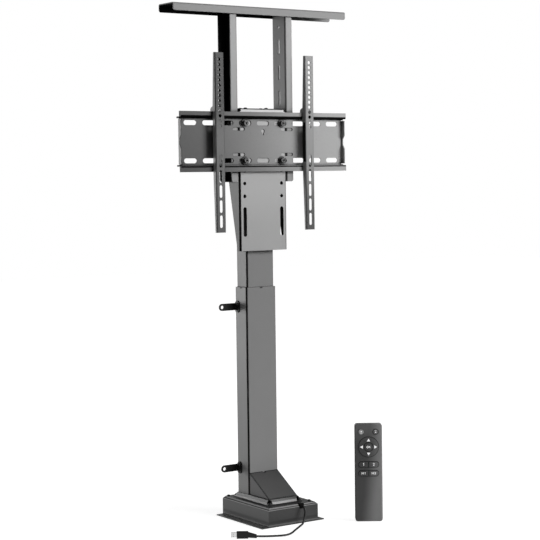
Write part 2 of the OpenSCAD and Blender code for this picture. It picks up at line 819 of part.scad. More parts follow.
// Thick plate welded in the top of the inner tube
module inner_tube_cap() {
    cap_t = 8;
    color(steel)
    difference() {
        translate([0, column_y, 0])
            prism_z(round_rect(inner_w - 2 * inner_t, inner_d - 2 * inner_t, tube_r - inner_t),
                    inner_z1 - cap_t, inner_z1);
        for (p = cap_screw_places)
            rod_z(p[0], p[1], inner_z1 - cap_t - eps, inner_z1 + eps, cap_screw_d);
    }
}

module lower_glide_pads() {
    gap_x = (outer_w - inner_w) / 2 - outer_t;
    gap_y = (outer_d - inner_d) / 2 - outer_t;
    rise = 3;
    top = inner_z0 + overlap - glide_h - 8;
    color(black)
    translate([0, column_y, 0])
    for (side = [-1, 1]) {
        scale([side, 1, 1])
            block(inner_w / 2, inner_w / 2 + gap_x - glide_clear, -inner_d / 4, inner_d / 4,
                  inner_z0 + rise, top);
        scale([1, side, 1])
            block(-inner_w / 3, inner_w / 3, inner_d / 2, inner_d / 2 + gap_y - glide_clear,
                  inner_z0 + rise, top);
    }
}

// Nut block in the foot of the inner tube, which climbs the lead screw
module lead_nut() {
    color("ivory")
    difference() {
        translate([0, column_y, 0])
            prism_z(round_rect(inner_w - 2 * inner_t, inner_d - 2 * inner_t, tube_r - inner_t),
                    inner_z0, inner_z0 + nut_h);
        rod_z(0, column_y, inner_z0 - eps, inner_z0 + nut_h + eps, screw_d + 2 * run_clear);
    }
}

bracket_r = 3;
bracket_side_back = column_y + 17;
bracket_taper_top = 133;
bracket_taper_foot = 11;
bracket_foot_d = 15;
bracket_top_back = column_y + inner_d / 2 + 3;
bolt_rows = [rail_z - rail_row, rail_z + rail_row];
post_first_slot = 91;
post_bolt_rows = [for (i = [3, 4]) post_z1 - post_first_slot - i * post_pitch];
post_bolt_d = 6;
post_y = bracket_y + post_d / 2;
spare_hole_top = rail_z - rail_h / 2 + 2.5;

// Side view of the bracket: full depth at the top, drawn in towards its foot
function bracket_side() = [
    [bracket_y - eps, bracket_z0], [bracket_y + bracket_foot_d - 4, bracket_z0],
    [bracket_y + bracket_foot_d, bracket_z0 + bracket_taper_foot],
    [bracket_side_back, bracket_z1 - bracket_taper_top], [bracket_side_back, bracket_z1],
    [bracket_y - eps, bracket_z1]];

// Bracket folded from one sheet: front plate, two tapered sides and a top plate
module mount_bracket() {
    mid = bracket_t / 2;
    half = bracket_w / 2 - mid;
    relief = 7;
    front = bracket_y + mid;
    color(light_steel)
    difference() {
        union() {
            intersection() {
                prism_z(sheet(bent([[-half, column_y + outer_d], [-half, front], [half, front],
                                    [half, column_y + outer_d]], bracket_r), bracket_t),
                        bracket_z0, bracket_z1 - relief);
                prism_x(bracket_side(), -bracket_w, bracket_w);
            }
            prism_x(sheet(bent([[front, bracket_z1 - bracket_h / 2], [front, bracket_z1 - mid],
                                [bracket_top_back, bracket_z1 - mid]], bracket_r), bracket_t),
                    relief - bracket_w / 2, bracket_w / 2 - relief);
        }
        for (p = cap_screw_places)
            rod_z(p[0], p[1], inner_z1 - eps, bracket_z1 + eps, cap_screw_d);
        for (x = [-1, 1]) {
            for (z = bolt_rows)
                rod_y(x * bracket_hole_x, bracket_y - eps, bracket_y + bracket_t + eps, z,
                      bracket_hole_d);
            for (i = [0:2])
                rod_y(x * bracket_hole_x, bracket_y - eps, bracket_y + bracket_t + eps,
                      spare_hole_top - i * bracket_pitch, bracket_hole_d);
            slot_y(x * bracket_hole_x, bracket_y - eps, bracket_y + bracket_t + eps,
                   bracket_z0 + 36 + bracket_slot_l / 2, bracket_slot_l, bracket_slot_w, true);
        }
        for (z = post_bolt_rows)
            rod_x(-bracket_w, bracket_w, post_y, z, post_bolt_d + 0.5);
    }
}

module cap_screws() {
    color(black)
    for (p = cap_screw_places)
        translate([p[0], p[1], bracket_z1]) button_screw(cap_screw_d, bracket_t + 8);
}

rail_plate_y = bracket_y - rail_t / 2;
rail_front = bracket_y - rail_t;
rail_lip_y = rail_front - rail_shelf + rail_t / 2;
rail_shelf_z = rail_h / 2 - rail_lip;
lip_front = rail_lip_y - rail_t / 2;
lip_back = rail_lip_y + rail_t / 2;

// Slotted rail: a plate with a shelf and a lip along its top and bottom, and folded ends.
// The shelves and lips run past the plate at both ends.
module vesa_rail() {
    profile = [[rail_lip_y, rail_h / 2], [rail_lip_y, rail_shelf_z], [rail_plate_y, rail_shelf_z],
               [rail_plate_y, -rail_shelf_z], [rail_lip_y, -rail_shelf_z],
               [rail_lip_y, -rail_h / 2]];
    half = rail_l / 2;
    overrun = 3.5;
    plate_half = half - overrun;
    end_half = rail_shelf_z - 5;
    relief_half = end_half + 1.5;
    small_x = 73;
    small_z = 31.6;
    small_l = 36;
    small_h = 8;
    keyhole_z = 27;
    keyhole_d = 10;
    notch_half = 18;
    notch_depth = 7;
    color(steel)
    translate([0, 0, rail_z])
    difference() {
        union() {
            difference() {
                prism_x(sheet(bent(profile, rail_t), rail_t), -half, half);
                for (side = [-1, 1])
                    scale([side, 1, 1])
                        block(plate_half - 1.5 * rail_t, half + eps, rail_front - eps,
                              bracket_y + eps, -relief_half, relief_half);
            }
            for (side = [-1, 1])
                scale([side, 1, 1])
                    prism_z(sheet(bent([[plate_half - 20, rail_plate_y],
                                        [plate_half - rail_t / 2, rail_plate_y],
                                        [plate_half - rail_t / 2, lip_front]], rail_t), rail_t),
                            -end_half, end_half);
        }
        for (z = [-rail_row, rail_row], i = [-4:4])
            slot_y(i * rail_pitch, rail_front - eps, bracket_y + eps, z, rail_slot_l, rail_slot_h);
        for (x = [-small_x, small_x], z = [-small_z, small_z])
            slot_y(x, rail_front - eps, bracket_y + eps, z, small_l, small_h);
        rod_y(0, rail_front - eps, bracket_y + eps, keyhole_z, keyhole_d);
        slot_y(0, rail_front - eps, bracket_y + eps, keyhole_z - keyhole_d / 2, keyhole_d,
               keyhole_d / 2, true);
        prism_x([[lip_front - eps, -notch_half], [lip_front - eps, notch_half],
                 [lip_front + notch_depth, notch_half - 1.5 * notch_depth],
                 [lip_front + notch_depth, 1.5 * notch_depth - notch_half]], -rail_l, rail_l);
    }
}

rail_bolt_d = 8;
washer_t = 2;
washer_d = 20;
nut_t = 7;
nut_af = 13;

module at_rail_bolts() {
    for (x = [-1, 1], z = bolt_rows)
        translate([x * bracket_hole_x, 0, z]) children();
}

// Socket-head screws from the front, their ends in nuts behind the bracket
module rail_bolts() {
    head_d = 13;
    head_h = rail_bolt_d;
    head_back = rail_front - washer_t;
    color(black)
    at_rail_bolts()
        difference() {
            union() {
                rod_y(0, head_back - head_h, head_back, 0, head_d);
                rod_y(0, head_back - eps, bracket_y + bracket_t + nut_t + 2, 0, rail_bolt_d);
            }
            translate([0, head_back - head_h / 2, 0]) rotate([90, 0, 0])
                cylinder(d = 0.87 * rail_bolt_d, h = head_h, $fn = 6);
        }
}

module rail_washers() {
    color(black)
    at_rail_bolts()
        difference() {
            rod_y(0, rail_front - washer_t, rail_front, 0, washer_d);
            rod_y(0, rail_front - washer_t - eps, rail_front + eps, 0, rail_bolt_d);
        }
}

module rail_nuts() {
    nut_y = bracket_y + bracket_t;
    color(black)
    at_rail_bolts()
        difference() {
            translate([0, nut_y + nut_t, 0]) rotate([90, 0, 0])
                cylinder(d = nut_af / cos(30), h = nut_t, $fn = 6);
            rod_y(0, nut_y - eps, nut_y + nut_t + eps, 0, rail_bolt_d);
        }
}

// Side outline of an arm [y, z] about the rail's middle: even in front of the rail, with a
// hook over the upper lip and a straight taper towards each end
function arm_side() =
    let (front = lip_front - arm_stand,
         deep = rail_front - arm_gap,
         shallow = front + arm_shallow,
         play = 0.4,
         before = lip_front - play,
         behind = lip_back + play,
         top = arm_l / 2 - arm_drop,
         foot = -arm_l / 2 - arm_drop,
         lip = rail_h / 2,
         on_shelf = rail_shelf_z + rail_t / 2 + play)
    [[front - eps, foot], [shallow, foot], [before, -lip - 12], [before, lip + play],
     [behind, lip + play], [behind, on_shelf], [deep, on_shelf], [deep, lip + 6],
     [deep - 4, lip + 10], [before, lip + 12], [shallow, top], [front - eps, top]];

// Arm folded to a channel, with round holes above and slots below
module arm(x) {
    front = lip_front - arm_stand;
    mid = front + arm_t / 2;
    half = (arm_w - arm_t) / 2;
    top = arm_l / 2 - arm_drop;
    foot = -arm_l / 2 - arm_drop;
    color(steel)
    translate([x, 0, rail_z])
    difference() {
        intersection() {
            prism_z(sheet(bent([[-half, bracket_y], [-half, mid], [half, mid],
                                [half, bracket_y]], arm_t), arm_t), foot, top);
            prism_x(arm_side(), -arm_w, arm_w);
        }
        for (i = [0:13])
            rod_y(0, front - eps, front + arm_t + eps, top - 17 - i * arm_pitch, arm_hole_d);
        for (i = [0:4])
            slot_y(0, front - eps, front + arm_t + eps, foot + 27 + i * arm_slot_pitch,
                   arm_slot_l, arm_hole_d, true);
    }
}

module arm_left() {
    arm(arm_left_x);
}

module arm_right() {
    arm(arm_right_x);
}

post_x = bracket_w / 2 + post_gap;
post_tab = 46;
post_hole_drop = 41;
channel_y0 = post_y - channel_d / 2;
channel_z1 = post_z1 + channel_t;
channel_screw_x = post_x + 10;
channel_screw_y = 15;
channel_screw_d = 5;

// Post with a slotted web next to the bracket and two flanges that point outwards
module post(side) {
    mid = post_t / 2;
    web = post_x + mid;
    half = post_d / 2 - mid;
    color(steel)
    scale([side, 1, 1])
    difference() {
        union() {
            intersection() {
                prism_z(sheet(bent([[post_x + 2 * post_flange, post_y - half], [web, post_y - half],
                                    [web, post_y + half], [post_x + 2 * post_flange, post_y + half]],
                                   post_t), post_t), post_z0, post_z1);
                prism_y([[0, post_z0], [post_x + post_flange - 5, post_z0],
                         [post_x + post_flange - 1.5, post_z0 + 1.5],
                         [post_x + post_flange, post_z0 + 5], [post_x + post_flange, post_z1],
                         [0, post_z1]], post_y - post_d, post_y + post_d);
            }
            block(web, post_x + post_flange, post_y - post_tab / 2, post_y + post_tab / 2,
                  post_z1 - post_t, post_z1);
        }
        for (i = [0:4])
            slot_x(post_x - eps, post_x + post_t + eps, post_y,
                   post_z1 - post_first_slot - i * post_pitch, post_slot_l, post_slot_w);
        rod_x(post_x - eps, post_x + post_t + eps, post_y, post_z1 - post_hole_drop, post_slot_w);
        for (y = [-1, 1])
            rod_z(channel_screw_x, post_y + y * channel_screw_y, post_z1 - post_t - eps,
                  post_z1 + eps, channel_screw_d);
    }
}

module post_left() {
    post(-1);
}

module post_right() {
    post(1);
}

// Flat-topped channel across both posts, open at its ends
module top_channel() {
    mid = channel_t / 2;
    half = channel_d / 2 - mid;
    round_end = 5;
    outline = rounded([[-channel_l / 2, channel_z1 - channel_h],
                       [channel_l / 2, channel_z1 - channel_h],
                       [channel_l / 2, channel_z1 + channel_h],
                       [-channel_l / 2, channel_z1 + channel_h]],
                      round_end);
    color(light_steel)
    difference() {
        intersection() {
            prism_x(sheet(bent([[post_y - half, channel_z1 - channel_h - eps],
                                [post_y - half, channel_z1 - mid],
                                [post_y + half, channel_z1 - mid],
                                [post_y + half, channel_z1 - channel_h - eps]], channel_t),
                          channel_t), -channel_l / 2, channel_l / 2);
            prism_y(outline, post_y - channel_d, post_y + channel_d);
        }
        for (x = [-1, 1], y = [-1, 1])
            rod_z(x * channel_screw_x, post_y + y * channel_screw_y, post_z1 - eps,
                  channel_z1 + eps, channel_screw_d);
        for (x = [-1, 1], y = [-1, 1], i = [0, 1])
            rod_z(x * (channel_l / 2 - lid_hole_in - i * lid_hole_step),
                  post_y + y * lid_hole_pitch / 2, post_z1 - eps, channel_z1 + eps, lid_hole_d);
    }
}

// Screws from below through the tabs of the posts, their ends flush with the top
module channel_screws() {
    color(black)
    for (x = [-1, 1], y = [-1, 1])
        translate([x * channel_screw_x, post_y + y * channel_screw_y, post_z1 - post_t])
            rotate([180, 0, 0]) button_screw(channel_screw_d, channel_t + post_t - 0.2);
}

module at_post_bolts() {
    for (side = [-1, 1], z = post_bolt_rows)
        scale([side, 1, 1]) translate([0, post_y, z]) children();
}

clamp_play = 0.15;

module post_bolts() {
    head_h = 4;
    inside = bracket_w / 2 - bracket_t;
    color(black)
    at_post_bolts() {
        rod_x(inside - head_h, inside, 0, 0, 2 * post_bolt_d);
        rod_x(inside - eps, post_x + post_t + 9, 0, 0, post_bolt_d);
    }
}

module post_spacers() {
    color(steel)
    at_post_bolts()
        difference() {
            rod_x(bracket_w / 2, post_x - clamp_play, 0, 0, 14);
            rod_x(bracket_w / 2 - eps, post_x, 0, 0, post_bolt_d);
        }
}

module post_nuts() {
    color(black)
    at_post_bolts()
        difference() {
            union() {
                rod_x(post_x + post_t + clamp_play, post_x + post_t + clamp_play + 1.5, 0, 0, 14);
                translate([post_x + post_t + clamp_play + 1.5, 0, 0]) rotate([0, 90, 0])
                    cylinder(d = 10 / cos(30), h = 5, $fn = 6);
            }
            rod_x(post_x, post_x + post_t + 12, 0, 0, post_bolt_d);
        }
}

// Route of the data cord, from the grommet to the plug
cord_route = [[25, -106, 41], [25, -110, 41], [25, -114, 39.5], [25, -117, 36], [25, -118.5, 31],
              [24, -119, 25], [22.5, -120, 19], [20, -121.5, 13.5], [16.5, -123.5, 8.5],
              [12, -126.5, 4.8], [6, -130.5, 3], [0, -135, 2.6], [-8, -141, 2.5], [-18, -149, 2.5],
              [-28, -157, 2.5], [-39, -166, 2.5], [-50, -175, 2.5], [-61, -184, 2.5],
              [-72, -191, 2.5], [-83, -195, 2.5], [-94, -195, 2.5], [-103, -192.5, 2.5],
              [-112, -188.5, 2.5], [-121, -184.5, 2.6], [-130, -181, 2.9], [-140, -177.5, 3.5],
              [-149, -174.8, 4.2], [-157, -172, 5]];
cord_sides = 8;
grommet_y = -base_d / 2;

// Rings of a tube that follows a list of points
function ring_frame(d) =
    let (side = unit(cross(d, abs(d[2]) > 0.9 ? [1, 0, 0] : [0, 0, 1])))
    [side, cross(side, d)];

function tube_rings(route, r, sides) =
    let (last = len(route) - 1)
    [for (i = [0:last])
        let (d = unit(route[min(i + 1, last)] - route[max(i - 1, 0)]),
             f = ring_frame(d))
        for (k = [0:sides - 1])
            route[i] + r * cos(360 * k / sides) * f[0] + r * sin(360 * k / sides) * f[1]];

module tube_along(route, r, sides) {
    n = len(route);
    walls = [for (i = [0:n - 2], k = [0:sides - 1])
                let (a = i * sides + k, b = i * sides + (k + 1) % sides)
                each [[a, b, b + sides], [a, b + sides, a + sides]]];
    first = [for (k = [1:sides - 2]) [0, k + 1, k]];
    end = (n - 1) * sides;
    closing = [for (k = [1:sides - 2]) [end, end + k, end + k + 1]];
    polyhedron(tube_rings(route, r, sides), concat(walls, first, closing));
}

module usb_cord() {
    color(black)
    tube_along(cord_route, cord_d / 2, cord_sides);
}

// Rubber bush in the notch of the front edge
module cable_grommet() {
    x0 = grommet_x - grommet_w / 2;
    x1 = grommet_x + grommet_w / 2;
    proud = 2;
    color(black)
    block(x0 + 0.1, x1 - 0.1, grommet_y - proud, grommet_y + base_bevel + grommet_reach - 0.3,
          base_h - grommet_h + 0.1, base_h + 1);
}

plug_end = cord_route[len(cord_route) - 1];
plug_turn = atan2(5.5, -8);
plug_l = 27.5;
plug_w = 17.5;
plug_t = 8;
boot_l = 20.5;
plug_shell_l = 14;
plug_shell_z = 9.3;

module at_plug() {
    translate([plug_end[0], plug_end[1], 0]) rotate([0, 0, plug_turn]) children();
}

// Plug standing on its narrow edge, with a tapered boot
module usb_plug_body() {
    boot_half = 3.2;
    cord_z = plug_end[2];
    color(black)
    at_plug() {
        prism_y([[0, cord_z - 4], [boot_l, plug_w / 2 - 6.5], [boot_l, plug_w / 2 + 6.5],
                 [0, cord_z + 4]], -boot_half, boot_half);
        translate([boot_l, 0, plug_w / 2])
            rotate([0, 90, 0]) linear_extrude(plug_l) polygon(round_rect(plug_w, plug_t, 1.5));
    }
}

// Metal shell with two windows, and the tongue that fills half of it
module usb_plug_shell() {
    shell_t = 4.5;
    shell_w = 12;
    skin = 0.4;
    window = 2.2;
    x0 = boot_l + plug_l;
    color("silver")
    at_plug()
        difference() {
            block(x0, x0 + plug_shell_l, -shell_t / 2, shell_t / 2, plug_shell_z - shell_w / 2,
                  plug_shell_z + shell_w / 2);
            block(x0 + 2, x0 + plug_shell_l + eps, skin - shell_t / 2, -0.1,
                  plug_shell_z - shell_w / 2 + skin, plug_shell_z + shell_w / 2 - skin);
            for (s = [-1, 1])
                translate([x0 + plug_shell_l / 2, 0, plug_shell_z + 2.6 * s - window / 2])
                    cube([window, shell_t, window]);
        }
}

module at_remote() {
    translate([remote_x, remote_y, 0]) rotate([0, 0, -remote_turn]) children();
}

remote_r = 8;
front_y = -remote_t / 2;
key_round_d = 0.2 * remote_w;
key_round_x = 0.26 * remote_w;
key_round_z = remote_l - 0.29 * remote_w;
ring_d = 0.74 * remote_w;
ok_d = 0.32 * remote_w;
ring_z = remote_l - 0.84 * remote_w;
pill_w = 0.73 * remote_w;
pill_h = 0.215 * remote_w;
pill_split = 1;
pill_one_z = remote_l - 1.476 * remote_w;
pill_two_z = remote_l - 1.8 * remote_w;
key_back = front_y + remote_wall + 1.7;
board_y = front_y + 6.5;

// Half of the remote's case, from its joint at y = 0 to its face
module half_case(sign, wall) {
    edge = 3.5 - wall / 2;
    w = remote_w / 2 - wall;
    face = sign * (remote_t / 2 - wall);
    foot = wall;
    head = remote_l - wall;
    intersection() {
        translate([0, 0, remote_l / 2])
            prism_y(round_rect(2 * w, head - foot, remote_r - wall, 6), -remote_t, remote_t);
        prism_z(bent([[-w, 0], [-w, face], [w, face], [w, 0]], edge), 0, remote_l);
        prism_x(bent([[0, foot], [face, foot], [face, head], [0, head]], edge), -w, w);
    }
}

// Half of a pill split upright in its middle, grown by a gap on its outer side
function half_pill(side, z, grow) =
    let (w = side * (pill_w / 2 + grow),
         h = side * (pill_h / 2 + grow),
         x = side * pill_split / 2)
    [for (p = bent([[x, -h], [w, -h], [w, h], [x, h]], 0.48 * pill_h, 8)) [p[0], p[1] + z]];

// Plan of each key, grown by a gap
module key_plan(name, grow) {
    if (name == "lower" || name == "raise")
        translate([(name == "lower" ? -1 : 1) * key_round_x, key_round_z])
            circle(d = key_round_d + 2 * grow);
    if (name == "ring")
        translate([0, ring_z]) circle(d = ring_d + 2 * grow);
    if (name == "ok")
        translate([0, ring_z]) circle(d = ok_d + 2 * grow);
    if (name == "one" || name == "two")
        polygon(half_pill(name == "one" ? -1 : 1, pill_one_z, grow));
    if (name == "memory_one" || name == "memory_two")
        polygon(half_pill(name == "memory_one" ? -1 : 1, pill_two_z, grow));
    if (name == "pair" || name == "memory_pair")
        translate([0, name == "pair" ? pill_one_z : pill_two_z])
            polygon(round_rect(pill_w + 2 * grow, pill_h + 2 * grow, 0.48 * pill_h, 8));
}

module key_solid(name, grow, y0, y1) {
    translate([0, y1, 0]) rotate([90, 0, 0]) linear_extrude(y1 - y0) key_plan(name, grow);
}

hole_names = ["lower", "raise", "ring", "pair", "memory_pair"];

board_w = remote_w - 2 * remote_wall - 6;
board_foot = remote_l / 2 - 28;
board_top = remote_l - remote_wall - 3;

module remote_front_shell() {
    boss_d = 5;
    color(dark_steel)
    at_remote() {
        difference() {
            half_case(-1, 0);
            half_case(-1, remote_wall);
            for (name = hole_names)
                key_solid(name, key_gap, front_y - eps, front_y + remote_wall + eps);
        }
        for (side = [-1, 1], z = [board_foot + boss_d, board_top - boss_d])
            rod_y(side * (board_w / 2 - boss_d / 2), front_y + remote_wall / 2, board_y, z, boss_d);
    }
}

door_w = 34;
door_l = 64;
door_z = 52;

module remote_rear_shell() {
    color(black)
    at_remote()
    difference() {
        half_case(1, 0);
        half_case(1, remote_wall);
        block(-door_w / 2, door_w / 2, 0, remote_t, door_z - door_l / 2, door_z + door_l / 2);
    }
}

module battery_door() {
    play = 0.25;
    color(dark_steel)
    at_remote()
    block(play - door_w / 2, door_w / 2 - play, remote_t / 2 - remote_wall, remote_t / 2,
          door_z - door_l / 2 + play, door_z + door_l / 2 - play);
}

module batteries() {
    cell_d = 10.5;
    cell_l = 44.5;
    color("silver")
    at_remote()
    for (x = [-1, 1])
        translate([x * (cell_d / 2 + 0.5), remote_t / 2 - remote_wall - cell_d / 2 - 0.3,
                   door_z - cell_l / 2])
            cylinder(d = cell_d, h = cell_l);
}

module remote_board() {
    board_t = 1.6;
    color("darkgreen")
    at_remote()
    block(-board_w / 2, board_w / 2, board_y, board_y + board_t, board_foot, board_top);
}

// A key with a rim behind the case that keeps it from falling out
module key(name) {
    rim = 1;
    rim_y = front_y + remote_wall + 0.2;
    color(black)
    at_remote() {
        key_solid(name, 0, front_y - key_proud, key_back);
        key_solid(name, rim, rim_y, key_back);
    }
}

module key_lower() {
    key("lower");
}

module key_raise() {
    key("raise");
}

module key_ring() {
    rim_y = front_y + remote_wall + 0.2;
    color(black)
    at_remote()
    difference() {
        union() {
            key_solid("ring", 0, front_y - key_proud, key_back);
            key_solid("ring", 1, rim_y, key_back);
        }
        key_solid("ok", key_gap, front_y - key_proud - eps, key_back + eps);
    }
}

module key_ok() {
    color(black)
    at_remote()
    key_solid("ok", 0, front_y - key_proud, key_back);
}

module key_one() {
    key("one");
}

module key_two() {
    key("two");
}

module key_memory_one() {
    key("memory_one");
}

module key_memory_two() {
    key("memory_two");
}

base_housing();
base_cover();
base_cover_screws();
base_bottom_plate();
column_foot_plate();
column_foot_bolts();
column_plinth();
plinth_screws();
outer_tube();
upper_glide_pads();
motor_cover();
gearbox_housing();
gearbox_cover();
screw_bearing();
drive_motor();
motor_worm();
worm_wheel();
lead_screw();
control_box();
power_inlet();
wall_tab_upper();
wall_tab_lower();
wall_tab_screws();
inner_tube();
inner_tube_cap();
lower_glide_pads();
lead_nut();
mount_bracket();
cap_screws();
vesa_rail();
rail_bolts();
rail_washers();
rail_nuts();
post_bolts();
post_spacers();
post_nuts();
post_left();
post_right();
top_channel();
channel_screws();
arm_left();
arm_right();
cable_grommet();
usb_cord();
usb_plug_body();
usb_plug_shell();
remote_front_shell();
remote_rear_shell();
battery_door();
batteries();
remote_board();
key_lower();
key_raise();
key_ring();
key_ok();
key_one();
key_two();
key_memory_one();
key_memory_two();
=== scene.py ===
# %% [markdown]
# A motor-driven column lift for a television, dressed for a studio picture. The folded steel parts,
# tubes, screws and keys come from the imported model, and this lesson gives them their finishes, with
# much of the light and shade painted into them. It adds the flexible lead and the printed details that
# are too small for the construction, paints highlights on the rims of the rail bolts, and sets the
# light and the camera. Every length is in metres, and Z is up.

# %% Load the frame
import json
import math

import bmesh
import bpy
from mathutils import Matrix, Vector

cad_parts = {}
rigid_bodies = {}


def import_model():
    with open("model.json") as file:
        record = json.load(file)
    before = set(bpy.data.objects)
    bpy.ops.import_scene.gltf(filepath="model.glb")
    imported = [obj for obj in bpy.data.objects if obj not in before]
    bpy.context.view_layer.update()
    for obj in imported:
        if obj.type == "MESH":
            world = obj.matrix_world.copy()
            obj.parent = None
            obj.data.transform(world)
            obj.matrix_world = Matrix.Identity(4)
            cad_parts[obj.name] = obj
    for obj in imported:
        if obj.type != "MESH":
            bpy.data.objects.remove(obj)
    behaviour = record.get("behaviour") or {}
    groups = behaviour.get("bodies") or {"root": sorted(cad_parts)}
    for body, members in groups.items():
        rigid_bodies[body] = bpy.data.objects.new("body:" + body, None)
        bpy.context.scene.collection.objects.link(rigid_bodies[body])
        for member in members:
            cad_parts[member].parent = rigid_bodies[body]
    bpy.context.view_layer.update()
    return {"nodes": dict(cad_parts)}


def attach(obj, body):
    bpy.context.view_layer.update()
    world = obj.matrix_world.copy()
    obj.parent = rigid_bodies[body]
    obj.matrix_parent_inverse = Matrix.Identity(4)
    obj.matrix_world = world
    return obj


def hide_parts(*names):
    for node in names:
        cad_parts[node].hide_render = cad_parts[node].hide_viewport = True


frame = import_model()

MM = 0.001
print("pieces in the frame:", len(frame["nodes"]))

# %% [markdown]
# The camera of the photograph stands to the left of the lift and a little below the
# rail, and looks slightly down. A real camera is held a bit askew too, which is the roll.
# A rotation matrix takes the three directions of the camera as its columns, and that is
# exact, where aiming an empty at the object would lose the roll.

# %% Camera
CAMERA_PLACE = Vector((-2.2090, -3.2170, 0.8595))
CAMERA_LENS = 103.55
SENSOR_WIDTH = 36.0
CAMERA_TURN = math.radians(34.597)
CAMERA_DIP = math.radians(3.383)
CAMERA_ROLL = math.radians(-0.7374)


def camera_matrix(place, turn, dip, roll):
    """The pose of a camera that looks along +Y when nothing is turned."""
    level = Matrix.Rotation(-turn, 4, "Z") @ Matrix.Rotation(math.pi / 2 - dip, 4, "X")
    return Matrix.Translation(place) @ level @ Matrix.Rotation(roll, 4, "Z")


camera_data = bpy.data.cameras.new("camera")
camera_data.lens = CAMERA_LENS
camera_data.sensor_width = SENSOR_WIDTH
camera_data.clip_end = 100.0
camera = bpy.data.objects.new("camera", camera_data)
camera.matrix_world = camera_matrix(CAMERA_PLACE, CAMERA_TURN, CAMERA_DIP, CAMERA_ROLL)
bpy.context.scene.collection.objects.link(camera)
bpy.context.scene.camera = camera
print("camera at:", [round(part, 3) for part in CAMERA_PLACE])

# %% [markdown]
# Shader patterns are sums and products, and those read best as Python expressions. This
# small class wraps one output socket, and each operator on it adds a Math node.

# %% Shader arithmetic


class Wire:
    """One socket that takes part in an expression."""

    def __init__(self, finish, socket):
        self.finish = finish
        self.socket = socket

    def __add__(self, other):
        return self.finish.math("ADD", self, other)

    def __sub__(self, other):
        return self.finish.math("SUBTRACT", self, other)

    def __rsub__(self, other):
        return self.finish.math("SUBTRACT", other, self)

    def __mul__(self, other):
        return self.finish.math("MULTIPLY", self, other)

    def __abs__(self):
        return self.finish.math("ABSOLUTE", self)

    __radd__ = __add__
    __rmul__ = __mul__


# %% [markdown]
# A finish is one material, or the world, with its nodes. They could be wired by hand in
# the editor, but in a script they can be made over and over with other numbers. All nodes
# come from one method, which takes the node's type, its settings and what goes into its
# sockets.

# %% Nodes of a finish


class NodeMaker:
    """A material or a world, and the nodes in it."""

    def __init__(self, name, store=None):
        store = bpy.data.materials if store is None else store
        self.owner = store.new(name)
        self.owner.use_nodes = True
        self.tree = self.owner.node_tree
        self.tree.nodes.clear()

    def node(self, kind, settings=None, sockets=None, output=0):
        """Adds a node and returns one of its outputs."""
        made = self.tree.nodes.new("ShaderNode" + kind)
        for name, value in (settings or {}).items():
            setattr(made, name, value)
        for name, value in (sockets or {}).items():
            if isinstance(value, Wire):
                self.tree.links.new(value.socket, made.inputs[name])
            else:
                made.inputs[name].default_value = value
        return Wire(self, made.outputs[output]) if made.outputs else None

    def math(self, operation, *values):
        return self.node("Math", {"operation": operation}, dict(enumerate(values)))


# %% [markdown]
# Most patterns here depend on where a point lies on the part, or on which way its surface
# faces there. Both come out of one node as vectors, and they are taken apart into x, y and
# z. A pattern then runs smoothly between two limits of such a number, and mixes colours.

# %% Patterns


class Pattern(NodeMaker):
    """Places, directions and the ramps between them."""

    def place(self):
        """The point on the object, as its x, y and z."""
        point = self.node("TexCoord", output="Object")
        parts = self.node("SeparateXYZ", sockets={"Vector": point})
        outputs = parts.socket.node.outputs
        return point, [Wire(self, outputs[k]) for k in range(3)]

    def facing(self):
        """The x, y and z of the way that the surface faces."""
        normal = self.node("TexCoord", output="Normal")
        parts = self.node("SeparateXYZ", sockets={"Vector": normal})
        outputs = parts.socket.node.outputs
        return [Wire(self, outputs[k]) for k in range(3)]

    def noise(self, point, scale, detail=2.0):
        """Cloudy noise from 0 to 1, with that many cells to the metre."""
        sockets = {"Vector": point, "Scale": scale, "Detail": detail}
        return self.node("TexNoise", sockets=sockets, output="Fac")

    def ramp(self, value, start, end, low=0.0, high=1.0):
        """Goes smoothly from low to high while the value goes from start to end."""
        sockets = {"Value": value, "From Min": start, "From Max": end, "To Min": low, "To Max": high}
        return self.node("MapRange", {"interpolation_type": "SMOOTHSTEP"}, sockets)

    def between(self, value, low, high, soft=MM):
        """1 where a place lies between two limits, which are soft by that much."""
        share = None
        if low is not None:
            share = self.ramp(value, low - soft, low + soft)
        if high is not None:
            below = self.ramp(value, high + soft, high - soft)
            share = below if share is None else share * below
        return share

    def mix(self, share, first, second):
        """Colour that is the first where the share is 0 and the second where it is 1."""
        sockets = {0: share, 6: first, 7: second}  # the sockets for colours
        return self.node("Mix", {"data_type": "RGBA"}, sockets, output=2)


# %% [markdown]
# Real edges are never quite sharp, and narrow places lie in shade. Modelling the edges would change the
# imported meshes, so nodes round them, and nodes paint the shade too. The Bevel node looks at the
# surface nearby and turns its direction as a rounding would, and the Ambient Occlusion node measures
# how much of the sky a point sees. Where a face takes painted shade, a matt black shader takes over.

# %% Edges and dark places


def grey(level):
    """A grey of that brightness in linear light."""
    return (level, level, level, 1.0)


